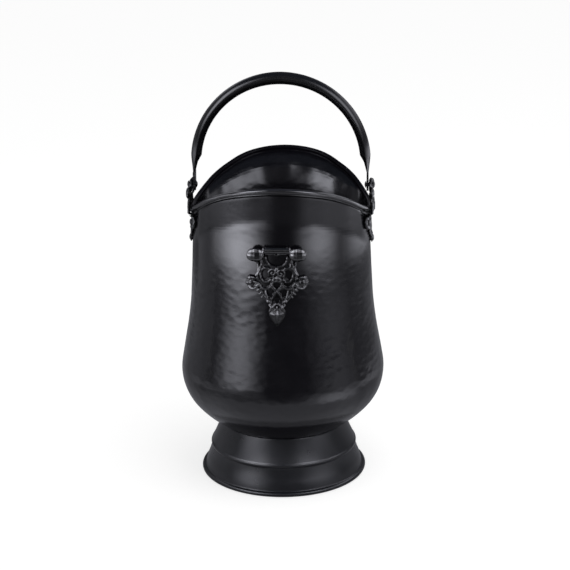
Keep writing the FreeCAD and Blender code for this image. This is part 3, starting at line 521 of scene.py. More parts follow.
@dataclass(frozen=True)
class Wall:
    """Outside outline of the shell: bowl, belly, shoulder, waist and neck."""

    belly_radius: float = 125.0
    belly_height: float = 134.5
    belly_round: float = 63.5
    bowl_bottom: float = 47.0
    bowl_flat: float = 8.06
    shoulder_lean: float = math.radians(10.2)
    waist_round: float = 450.0
    neck_start: float = 241.5
    neck_lean: float = math.radians(3.0)
    bowl_rows: int = 30
    belly_rows: int = 32
    shoulder_rows: int = 24
    waist_rows: int = 66

    @property
    def belly_middle(self) -> float:
        """Distance of the belly's centre of curvature from the axis."""
        return self.belly_radius - self.belly_round

    @property
    def bowl_round(self) -> float:
        """Radius of the bowl's curve in profile."""
        across = self.belly_middle - self.bowl_flat
        rise = self.belly_height - self.bowl_bottom
        return (across ** 2 + rise ** 2 - self.belly_round ** 2) / (2 * (rise - self.belly_round))

    @property
    def shoulder_foot(self) -> Span:
        """Radius and height where the belly runs into the straight shoulder."""
        lean = self.shoulder_lean
        return (self.belly_middle + self.belly_round * math.cos(lean),
                self.belly_height + self.belly_round * math.sin(lean))

    @property
    def waist_middle(self) -> Span:
        """Radius and height of the waist's centre of curvature."""
        lean = self.shoulder_lean
        foot_radius, foot_height = self.shoulder_foot
        low = self.neck_start + self.waist_round * (math.sin(self.neck_lean) - math.sin(lean))
        radius = foot_radius - (low - foot_height) * math.tan(lean)
        return radius + self.waist_round * math.cos(lean), low + self.waist_round * math.sin(lean)

    def radius(self, height: Array | float) -> Array:
        """Find the outside radius of the waist and the neck.

        Args:
            height: Heights above the floor.

        Returns:
            Radii at those heights.
        """
        middle_radius, middle_height = self.waist_middle
        height = np.asarray(height, float)
        turn = np.arcsin(np.clip((middle_height - height) / self.waist_round, -1.0, 1.0))
        waist = middle_radius - self.waist_round * np.cos(turn)
        neck_foot = middle_radius - self.waist_round * math.cos(self.neck_lean)
        neck = neck_foot - (height - self.neck_start) * math.tan(self.neck_lean)
        return np.where(height >= self.neck_start, neck, waist)

    def bowl_height(self, radius: float) -> float:
        """Find the height of the bowl's outside at a radius.

        Args:
            radius: Distance from the axis.

        Returns:
            Height above the floor.
        """
        middle = self.bowl_bottom + self.bowl_round
        return middle - math.sqrt(self.bowl_round ** 2 - (radius - self.bowl_flat) ** 2)

    def outline(self, top: float, inset: float, share: float) -> Array:
        """Trace the wall from the edge of the bowl's flat up to a height on the neck.

        Args:
            top: Height where the trace ends.
            inset: How far inside the outside the trace runs.
            share: Share of the full number of points.

        Returns:
            Radius and height of each point.
        """
        bowl_middle = (self.bowl_flat, self.bowl_bottom + self.bowl_round)
        bowl_turn = math.atan2(bowl_middle[1] - self.belly_height, self.belly_middle - self.bowl_flat)
        bowl = np.linspace(-math.pi / 2, -bowl_turn, round(self.bowl_rows * share), endpoint=False)
        belly = np.linspace(-bowl_turn, self.shoulder_lean, round(self.belly_rows * share), endpoint=False)
        foot_radius, foot_height = self.shoulder_foot
        waist_height = self.waist_middle[1] - self.waist_round * math.sin(self.shoulder_lean)
        rise = np.linspace(foot_height, waist_height, round(self.shoulder_rows * share), endpoint=False)
        shoulder = foot_radius - (rise - foot_height) * math.tan(self.shoulder_lean)
        climb = np.linspace(waist_height, top, round(self.waist_rows * share))
        return np.concatenate([
            arc(bowl_middle, self.bowl_round - inset, bowl),
            arc((self.belly_middle, self.belly_height), self.belly_round - inset, belly),
            np.stack([shoulder - inset, rise], axis=1),
            np.stack([self.radius(climb) - inset, climb], axis=1)])


@dataclass(frozen=True)
class Rim:
    """Saddle-shaped rim of the shell, rolled to a bead."""

    wall: Wall
    dip_height: float = 338.2
    dip_round: float = 103.0
    lip_angle: float = math.radians(31.0)
    bead_radius: float = 2.9
    bead_offset: float = 1.5
    rounds: int = 8
    nudge: float = 0.001

    def height(self, y: Array) -> Array:
        """Find the height of the bead's middle in side view.

        Args:
            y: Distances in front of or behind the pivots.

        Returns:
            Heights above the floor.
        """
        y = np.abs(y)
        touch = self.dip_round * math.sin(self.lip_angle)
        dip = self.dip_height + self.dip_round - np.sqrt(self.dip_round ** 2 - np.minimum(y, touch) ** 2)
        return dip + np.maximum(y - touch, 0.0) * math.tan(self.lip_angle)

    def line(self, azimuth: Array) -> Array:
        """Find points of the bead's middle line.

        Args:
            azimuth: Angles from the front lip.

        Returns:
            One point for each angle.
        """
        height = np.full_like(azimuth, self.dip_height)
        for _ in range(self.rounds):
            radius = self.wall.radius(height) + self.bead_offset
            height = self.height(radius * np.cos(azimuth))
        return np.column_stack([compass(azimuth) * radius[:, None], height])

    def skin(self, azimuth: Array, turn: float) -> Array:
        """Find points on the bead's skin.

        Args:
            azimuth: Angles from the front lip.
            turn: Angle round the bead, from straight out, upwards.

        Returns:
            One point for each angle.
        """
        along = self.line(azimuth + self.nudge) - self.line(azimuth - self.nudge)
        along /= np.linalg.norm(along, axis=1, keepdims=True)
        out = np.column_stack([compass(azimuth), np.zeros_like(azimuth)])
        rise = np.cross(out, along)
        rise *= np.sign(rise[:, 2:3])
        return self.line(azimuth) + self.bead_radius * (math.cos(turn) * out + math.sin(turn) * rise)


# Size, waves round the rim and phase of each part of the ripple along the lips' lower edge.
RIPPLE = ((1.6, 4, 1.0), (0.9, 9, 0.4), (0.4, 21, 2.0))
OUTER_RIPPLE = 1.5
# Heights against the rim's middle line, and how far the skin leans there in degrees, outside and inside.
LEAN_STEPS = np.linspace(-80.0, 0.0, 161)
OUTER_LEAN = ((-80.0, 0.0), (-46.5, 0.0), (-34.0, 10.5), (0.0, 14.0))
INNER_LEAN = ((-80.0, 0.0), (-72.0, 0.0), (-62.0, 5.0), (-52.0, 11.5), (-40.0, 17.5), (-28.0, 25.0),
              (-20.0, 33.0), (-10.0, 48.0), (0.0, 62.0))


@dataclass
class HammeredShell:
    """Turned and hammered vessel with a rolled rim; a pair of numbers is where a change starts and ends."""

    wall: Wall
    rim: Rim
    finish: PaintedMetal = HAMMERED_STEEL
    sheet: float = 1.0
    columns: int = 372
    neck_row: float = 300.0
    neck_rows: int = 20
    bead_rows: int = 15
    inside_share: float = 0.42
    lip_lean: float = 7.0
    lip_lean_rise: Span = (-46.0, -34.0)
    lip_lean_width: Span = (0.75, 0.95)
    lip_width: Span = (0.12, 0.5)
    bowl_hammering: Span = (78.0, 120.0)
    neck_smoothing: Span = (262.0, 296.0)
    neck_smoothed: float = 0.78
    rim_smoothing: Span = (-14.0, -6.0)
    inner_hammering: Span = (-70.0, -60.0)
    inner_hammered: float = 0.8
    # Painted light on the bead: the span of the turn towards the back over which its paint mirrors less, a
    # painted shade, and towards the front over which it mirrors more by this much, a painted highlight.
    bead_light_span: Span = (0.0, 0.25)
    bead_highlight_boost: float = 1.1
    mark_width: float = 13.0
    mark_height: float = 9.0
    mark_depth: float = 0.12
    wave_width: float = 38.0
    wave_depth: float = 0.65
    seed: float = 4.0

    def flare(self, below: Array, angles: Sequence[Span]) -> Array:
        """Find how far the lips' skin swings outwards by its lean.

        Args:
            below: Heights against the rim's middle line, negative below it.
            angles: Heights and the lean in degrees there.

        Returns:
            Distances that the skin swings out, in metres.
        """
        lean = np.tan(np.radians(np.interp(LEAN_STEPS, *np.array(angles).T)))
        swing = np.concatenate([[0.0], np.cumsum((lean[1:] + lean[:-1]) / 2 * np.diff(LEAN_STEPS))])
        return np.interp(below, LEAN_STEPS, swing) * MM

    def rows(self) -> tuple[Array, slice]:
        """Lay out the skin in rows, from under the bowl over the rim to the inside of the bowl.

        Returns:
            Points by row and column, and the rows of the bead.
        """
        azimuth = turns(self.columns)
        around = compass(azimuth)
        start = -math.acos(-self.rim.bead_offset / self.rim.bead_radius)
        end = 2 * math.pi - math.acos(-(self.rim.bead_offset + self.sheet) / self.rim.bead_radius)
        bead = [self.rim.skin(azimuth, turn) for turn in np.linspace(start, end, self.bead_rows)]
        outside = revolve(self.wall.outline(self.neck_row, 0.0, 1.0), around)
        outside += self.neck(bead[0], azimuth, 0.0)
        inside = revolve(self.wall.outline(self.neck_row, self.sheet, self.inside_share), around)
        inside += self.neck(bead[-1], azimuth, self.sheet)
        return np.stack(outside + bead + inside[::-1]), slice(len(outside), len(outside) + len(bead))

    def neck(self, top: Array, azimuth: Array, inset: float) -> list[Array]:
        """Lay out the rows between the last level row and the bead.

        Args:
            top: Points where the rows end at the bead.
            azimuth: Angles of the level row's points.
            inset: How far inside the outside the rows run.

        Returns:
            Rows from the bottom up, without the two that they join.
        """
        end = np.unwrap(np.arctan2(top[:, 0], -top[:, 1]))
        end += 2 * math.pi * np.round((azimuth - end) / (2 * math.pi))
        rows = []
        for share in np.arange(1, self.neck_rows) / self.neck_rows:
            height = self.neck_row + share * (top[:, 2] - self.neck_row)
            radius = self.wall.radius(height) - inset
            around = compass(azimuth + share * (end - azimuth))
            rows.append(np.column_stack([around * radius[:, None], height]))
        return rows

    def layers(self, points: Array, bead: slice) -> dict[str, Array]:
        """Lean the front and back lips outwards, and find what the paint needs to know of each point.

        Args:
            points: Points by row and column, which the lean moves.
            bead: Rows of the bead.

        Returns:
            By name, how strongly each point was hammered, how much further the lips' skin swings than they
            lean, where the skin is plain sheet, and where the bead's paint mirrors less at the back, a painted
            shade, or, below zero, more at the front, a painted highlight.
        """
        azimuth = turns(self.columns)
        front = np.cos(azimuth)
        height = points[:, :, 2]
        below = height - self.rim.line(azimuth)[:, 2]
        inside = slice(bead.start, None)
        hammer = 1 - self.neck_smoothed * ease(*self.neck_smoothing, height)
        hammer *= ease(*self.bowl_hammering, height) * (1 - ease(*self.rim_smoothing, below))
        inner = self.inner_hammered * ease(*self.inner_hammering, below)
        hammer[inside] = np.maximum(hammer, inner)[inside]
        low, high = self.lip_lean_rise
        lean = ((LEAN_STEPS[0], 0.0), (low, 0.0), (high, self.lip_lean), (0.0, self.lip_lean))
        spread = self.flare(below, lean) * ease(*self.lip_lean_width, np.abs(front))
        points[:, :, :2] += compass(azimuth) * (spread / MM)[:, :, None]
        lip = ease(*self.lip_width, np.abs(front))
        ripple = sum(size * np.sin(waves * azimuth + phase) for size, waves, phase in RIPPLE)
        swing = self.flare(below + OUTER_RIPPLE * ripple, OUTER_LEAN) * lip - spread
        swing[inside] = (spread - self.flare(below - ripple, INNER_LEAN) * lip)[inside]
        sheet = np.ones_like(height)
        sheet[bead] = 0.0
        # Painted shade on the bead at the back, where it mirrors less, and a painted highlight at the front,
        # where it mirrors more.
        worn = np.zeros_like(height)
        painted_bead_highlight = self.bead_highlight_boost * ease(*self.bead_light_span, front)
        worn[bead.start:bead.stop + 1] = ease(*self.bead_light_span, -front) - painted_bead_highlight
        return {"hammer": hammer, "flare": swing, "sheet": sheet, "worn": worn}

    def marks(self) -> Tree:
        """Build the tree that hammers the skin: rows of shallow dents over slow waves.

        Returns:
            The node tree.
        """
        labels = ("Mark Width", "Mark Height", "Mark Depth", "Wave Width", "Wave Depth", "Seed")
        tree, given = new_tree("hammer_marks", {**dict.fromkeys(labels, "NodeSocketFloat"),
                                                "Material": "NodeSocketMaterial"})
        place = add_node(tree, "GeometryNodeInputPosition").outputs[0]
        strength = add_node(tree, "GeometryNodeInputNamedAttribute", {"Name": "hammer"}, data_type="FLOAT")
        cell = add_node(tree, "ShaderNodeCombineXYZ", {
            "X": given.outputs["Mark Width"], "Y": given.outputs["Mark Width"],
            "Z": given.outputs["Mark Height"]})
        stretched = add_node(tree, "ShaderNodeVectorMath", {0: place, 1: cell.outputs[0]}, operation="DIVIDE")
        dents = add_node(tree, "ShaderNodeTexVoronoi", {
            "Vector": stretched.outputs[0], "W": given.outputs["Seed"], "Scale": 1.0, "Randomness": 0.8,
            "Smoothness": 0.35}, voronoi_dimensions="4D", feature="SMOOTH_F1")
        dent = add_node(tree, "ShaderNodeMapRange", {
            "Value": dents.outputs["Distance"], "From Min": 0.05, "From Max": 0.75, "To Min": 1.0,
            "To Max": 0.0}, interpolation_type="SMOOTHSTEP")
        slow = add_node(tree, "ShaderNodeVectorMath", {0: place, 1: given.outputs["Wave Width"]},
                        operation="DIVIDE")
        waves = add_node(tree, "ShaderNodeTexNoise", {
            "Vector": slow.outputs[0], "W": given.outputs["Seed"], "Scale": 1.0, "Detail": 1.0},
            noise_dimensions="4D")
        sunk = add_node(tree, "ShaderNodeMath", {0: dent.outputs[0], 1: given.outputs["Mark Depth"]},
                        operation="MULTIPLY")
        swell = add_node(tree, "ShaderNodeMath", {
            0: waves.outputs["Fac"], 1: given.outputs["Wave Depth"], 2: sunk.outputs[0]},
            operation="MULTIPLY_ADD")
        depth = add_node(tree, "ShaderNodeMath", {0: swell.outputs[0], 1: strength.outputs["Attribute"]},
                         operation="MULTIPLY")
        inward = add_node(tree, "ShaderNodeMath", {0: depth.outputs[0], 1: -1.0}, operation="MULTIPLY")
        level = add_node(tree, "ShaderNodeVectorMath", {0: place, 1: (1.0, 1.0, 0.0)}, operation="MULTIPLY")
        out = add_node(tree, "ShaderNodeVectorMath", {0: level.outputs[0]}, operation="NORMALIZE")
        push = add_node(tree, "ShaderNodeVectorMath", {0: out.outputs[0], "Scale": inward.outputs[0]},
                        operation="SCALE")
        moved = add_node(tree, "GeometryNodeSetPosition",
                         {"Geometry": given.outputs[0], "Offset": push.outputs[0]})
        end_tree(tree, moved.outputs[0], given.outputs["Material"])
        return tree

    def build(self) -> None:
        """Make the shell, hammer it and hang it on the bucket."""
        points, bead = self.rows()
        layers = self.layers(points, bead)
        poles = [(0.0, 0.0, self.wall.bowl_bottom), (0.0, 0.0, self.wall.bowl_bottom + self.sheet)]
        faces = pole_faces(len(points), self.columns)
        shell = new_piece("hammered_shell", np.concatenate([points.reshape(-1, 3), poles]), faces)
        for name, values in layers.items():
            add_layer(shell, name, np.append(values, [0.0] * len(poles)))
        give_nodes(shell, self.marks(), {
            "Mark Width": self.mark_width * MM, "Mark Height": self.mark_height * MM,
            "Mark Depth": self.mark_depth * MM, "Wave Width": self.wave_width * MM,
            "Wave Depth": self.wave_depth * MM, "Seed": self.seed, "Material": self.finish.build()})
        put_on(shell, Body.BUCKET, "hammered_steel", "bucket_shell")


@dataclass
class SpunFoot:
    """Spun foot under the bowl: a hollow flare, a ridge and a skirt with a rolled base."""

    wall: Wall
    finish: PaintedMetal = SPUN_STEEL
    sheet: float = 1.2
    columns: int = 288
    top_radius: float = 77.5
    seat_gap: float = -0.45
    flare_round: float = 190.0
    flare_rows: int = 22
    ridge_height: float = 34.8
    ridge_spread: float = 13.1
    ridge_round: float = 3.0
    ridge_start: float = 2.4
    ridge_rows: int = 12
    skirt_inset: float = 1.1
    skirt_rows: int = 14
    straight: float = 0.7
    base_spread: float = 9.0
    base_overhang: float = 0.8
    bead_round: float = 2.8
    bead_flat: float = 0.3
    bead_clear: float = 0.15
    bead_rows: int = 26

    def outside(self) -> Array:
        """Trace the outside from the seat under the bowl down to the base bead.

        Returns:
            Radius and height of each point.
        """
        seat = (self.top_radius, self.wall.bowl_height(self.top_radius - self.sheet) - self.seat_gap)
        ridge = self.top_radius + self.ridge_spread
        ridge_middle = (ridge - self.ridge_round, self.ridge_height)
        start = (ridge_middle[0] + math.sqrt(self.ridge_round ** 2 - self.ridge_start ** 2),
                 self.ridge_height + self.ridge_start)
        run, drop = start[0] - seat[0], seat[1] - start[1]
        half = math.hypot(run, drop) / 2
        back = math.sqrt(self.flare_round ** 2 - half ** 2) / (2 * half)
        middle = ((seat[0] + start[0]) / 2 + back * drop, (seat[1] + start[1]) / 2 + back * run)
        ends = [math.atan2(high - middle[1], far - middle[0]) % (2 * math.pi) for far, high in (seat, start)]
        flare = arc(middle, self.flare_round, np.linspace(*ends, self.flare_rows))
        neck = ridge - self.skirt_inset
        neck_height = self.ridge_height - math.sqrt(self.ridge_round ** 2 - (neck - ridge_middle[0]) ** 2)
        ends = [math.atan2(high - ridge_middle[1], far - ridge_middle[0])
                for far, high in (start, (neck, neck_height))]
        roll = arc(ridge_middle, self.ridge_round, np.linspace(*ends, self.ridge_rows))
        base = ridge + self.base_spread - self.base_overhang
        base_height = self.bead_round - self.bead_flat
        turn = 2 * math.atan2(base - neck, neck_height - base_height)
        swing = (neck_height - base_height) / math.sin(turn) / 2
        bow = np.linspace(0, turn, self.skirt_rows)
        upper = np.stack([neck + swing - swing * np.cos(bow), neck_height - swing * np.sin(bow)], axis=1)
        lower = np.array([neck + base, neck_height + base_height]) - upper[::-1]
        skirt = np.concatenate([upper, lower[1:]])
        share = (neck_height - skirt[:, 1:]) / (neck_height - base_height)
        line = np.array([neck, neck_height]) * (1 - share) + np.array([base, base_height]) * share
        skirt += self.straight * (line - skirt)
        return np.concatenate([flare, roll[1:], skirt[1:]])

    def section(self) -> Array:
        """Trace the closed section: down the outside, round the base bead and up the inside.

        Returns:
            Radius and height of each point.
        """
        trace = self.outside()
        ring = self.top_radius + self.ridge_spread + self.base_spread
        middle = np.array([ring, self.bead_round - self.bead_flat])
        sides = []
        for inset in (0.0, self.sheet):
            side = trace - np.array([inset, 0.0])
            reach = np.hypot(*(side - middle).T)
            sides.append(side[reach > self.bead_round + self.bead_clear])
        first, last = (math.atan2(side[-1][1] - middle[1], side[-1][0] - middle[0]) for side in sides)
        bead = arc(middle, self.bead_round, np.linspace(first, last - 2 * math.pi, self.bead_rows))
        bead[:, 1] = np.maximum(bead[:, 1], 0.0)
        return np.concatenate([sides[0], bead, sides[1][::-1]])

    def build(self) -> None:
        """Make the foot and hang it on the bucket."""
        rows = revolve(self.section(), compass(turns(self.columns)))
        foot = new_piece("spun_foot", np.concatenate(rows), grid_faces(len(rows), self.columns, True))
        foot.data.materials.append(self.finish.build())
        put_on(foot, Body.BUCKET, "spun_steel", "foot_skirt")


@dataclass
class Bail:
    """Tube handle: a round arch, squeezed towards its legs, with flat drilled ends."""

    finish: PaintedMetal = BAIL_STEEL
    pivot_height: float = 363.8
    arch_rise: float = 27.7
    arch_radius: float = 101.105
    arch_rows: int = 90
    tube_radius: float = 7.4
    leg_thick: float = 12.6
    leg_width: float = 17.5
    taper: float = 21.0
    outer_edge: float = 0.6
    pinch_rise: float = 15.7
    pinch_rows: int = 16
    strip_thick: float = 2.4
    strip_cover: float = 0.1
    strip_width: float = 20.5
    strip_middle: float = 103.705
    strip_lap: float = 0.6
    eye_radius: float = 7.6
    eye_spokes: int = 72
    hole_radius: float = 2.58
    crease: float = 0.42
    crease_angle: float = math.radians(34)
    spokes: int = 44

    def lens(self, middle: Array, out: Array, half_thick: float, half_width: float, crease: float) -> Array:
        """Lay out one section of the squeezed tube.

        Args:
            middle: Middle of the section.
            out: Direction away from the hand.
            half_thick: Half of the thickness in that direction.
            half_width: Half of the width from front to back.
            crease: Zero for a round section, more for one with sharper edges.

        Returns:
            Points round the section.
        """
        turn = turns(self.spokes)
        side = np.sin(turn)
        bulge = np.sign(np.cos(turn)) * np.abs(1 - side ** 2) ** (0.5 + crease)
        return middle + np.outer(bulge * half_thick, out) + np.outer(side * half_width, [0.0, 1.0, 0.0])

    def sections(self) -> list[Array]:
        """Lay out the sections of one half, from the crown to the flat end.

        Returns:
            Sections in order.
        """
        crown = np.array([0.0, 0.0, self.pivot_height + self.arch_rise])
        drop = self.arch_rise - self.pinch_rise
        rows = []
        for share in np.linspace(0, 1, self.arch_rows):
            turn = share * math.pi / 2
            out = np.array([math.sin(turn), 0.0, math.cos(turn)])
            full = min(1.0, (drop + (1 - share) * self.arch_radius * math.pi / 2) / self.taper)
            thick = self.tube_radius + (self.leg_thick / 2 - self.tube_radius) * share
            width = self.tube_radius + (self.leg_width / 2 - self.tube_radius) * share
            middle = self.arch_radius + self.outer_edge * thick * (1 - full)
            rows.append(self.lens(crown + out * middle, out, thick * full, width, self.crease * share ** 2))
        out = np.array([1.0, 0.0, 0.0])
        start = crown + out * middle
        end = np.array([self.strip_middle, 0.0, self.pivot_height + self.pinch_rise])
        leg, strip = self.leg_thick * drop / self.taper, self.strip_thick + self.strip_cover
        for share in np.linspace(0, 1, self.pinch_rows)[1:]:
            thick = leg + (strip - leg) * share
            width = self.leg_width + (self.strip_width - self.leg_width) * share
            rows.append(self.lens(start + (end - start) * share, out, thick / 2, width / 2,
                                  self.crease * (1 - share)))
        return rows

    def tongue(self) -> Skin:
        """Lay out the flat end of one leg, with its hole for the pivot.

        Returns:
            Points and faces of the flat end.
        """
        turn = turns(self.eye_spokes)
        side, rise = np.sin(turn), np.cos(turn)
        lean = math.atan2(self.strip_width / 2 - self.eye_radius, self.pinch_rise)
        edge = self.eye_radius / np.maximum(np.abs(side) * math.cos(lean) - rise * math.sin(lean), TINY)
        lid = (self.pinch_rise + self.strip_lap) / np.maximum(rise, TINY)
        reach = np.where(rise < math.sin(lean), self.eye_radius, np.minimum(edge, lid))
        hole = np.full_like(turn, self.hole_radius)
        half = self.strip_thick / 2
        rows = []
        for span, depth in ((hole, -half), (hole, half), (reach, half), (reach, -half)):
            rows.append(np.column_stack([np.full_like(turn, self.strip_middle + depth), side * span,
                                         self.pivot_height + rise * span]))
        return np.concatenate(rows), grid_faces(len(rows), self.eye_spokes, True)

    def build(self) -> None:
        """Make the bail and hang it on its own body."""
        half = self.sections()
        rows = [section * MIRROR for section in half[:0:-1]] + half
        points = [np.concatenate(rows)]
        faces = tube_faces(len(rows), self.spokes)
        count = len(points[0])
        flat, quads = self.tongue()
        for side in (np.ones(3), MIRROR):
            faces += [tuple(point + count for point in face) for face in quads]
            points.append(flat * side)
            count += len(flat)
        bail = new_piece("bail", np.concatenate(points), faces)
        bail.data.materials.append(self.finish.build())
        bail.data.set_sharp_from_angle(angle=self.crease_angle)
        put_on(bail, Body.BAIL, "bail_steel", "bail_handle")


# Angles at which the rings of a rod's round end lie.
CAP_TURNS = (0.4, 0.8, 1.15, 1.4)


@dataclass(frozen=True)
class Rod:
    """Round rod along a smooth line on a casting laid flat.

    Attributes:
        line: Points as distance across, distance below the lobes and distance out from the wall.
        radii: Radius at the start, in the middle and at the end.
        paired: Whether the other half of the casting has its mirror image.
        flat: Its thickness against its width.
    """

    line: tuple[Point, ...]
    radii: Point
    paired: bool = True
    flat: float = 1.0

    def path(self, steps: int = 5) -> Array:
        """Round the line's corners.

        Args:
            steps: Points on each stretch of the line.

        Returns:
            Points along the smooth line.
        """
        knots = np.array(self.line)
        padded = np.concatenate([2 * knots[:1] - knots[1:2], knots, 2 * knots[-1:] - knots[-2:-1]])
        share = (np.arange(steps) / steps)[:, None]
        stretches = []
        for before, start, end, after in zip(padded, padded[1:], padded[2:], padded[3:]):
            stretches.append(0.5 * (2 * start + (end - before) * share
                                    + (2 * before - 5 * start + 4 * end - after) * share ** 2
                                    + (3 * start - before - 3 * end + after) * share ** 3))
        return np.concatenate([*stretches, knots[-1:]])

    def mesh(self, spokes: int = 12) -> Skin:
        """Lay out the rod's skin with round ends.

        Args:
            spokes: Points round the rod.

        Returns:
            Points and faces.
        """
        path = self.path()
        thick = np.interp(np.linspace(0, 1, len(path)), [0.0, 0.5, 1.0], self.radii)
        along = np.gradient(path, axis=0)
        along /= np.linalg.norm(along, axis=1, keepdims=True)
        caps = [(math.sin(lean), math.cos(lean)) for lean in CAP_TURNS]
        ends = [(0, -slide, shrink) for slide, shrink in caps[::-1]]
        ends += [(spot, 0.0, 1.0) for spot in range(len(path))]
        ends += [(len(path) - 1, slide, shrink) for slide, shrink in caps]
        turn = turns(spokes)
        rings = []
        for spot, slide, shrink in ends:
            side = np.cross(along[spot], [0.0, 0.0, 1.0])
            side /= max(np.linalg.norm(side), TINY)
            rise = np.cross(side, along[spot])
            ring = np.outer(np.cos(turn), side) + np.outer(np.sin(turn), rise) * self.flat
            rings.append(path[spot] + along[spot] * slide * thick[spot] + ring * thick[spot] * shrink)
        return np.concatenate(rings), tube_faces(len(rings), spokes)


@dataclass(frozen=True)
class Knob:
    """Rounded lump on a casting laid flat.

    Attributes:
        place: Distance across, distance below the lobes and distance out of its middle.
        reach: Half of its length, width and height.
        tilt: Turn of its length from straight across, in degrees.
        paired: Whether the other half of the casting has its mirror image.
    """

    place: Point
    reach: Point
    tilt: float = 0.0
    paired: bool = True

    def mesh(self, spokes: int = 14, rings: int = 8, tip: float = 0.02) -> Skin:
        """Lay out the lump's skin.

        Args:
            spokes: Points round the lump.
            rings: Steps from its top to its bottom.
            tip: Angle of the small flat at its top and bottom.

        Returns:
            Points and faces.
        """
        fall = np.linspace(tip, math.pi - tip, rings)
        turn = turns(spokes)
        unit = np.stack([np.outer(np.sin(fall), np.cos(turn)), np.outer(np.sin(fall), np.sin(turn)),
                         np.outer(np.cos(fall), np.ones(spokes))], axis=-1).reshape(-1, 3)
        long, wide, out = (unit * np.array(self.reach)).T
        lean = math.radians(self.tilt)
        points = np.column_stack([long * math.cos(lean) - wide * math.sin(lean),
                                  long * math.sin(lean) + wide * math.cos(lean), out]) + np.array(self.place)
        return points, tube_faces(rings, spokes)


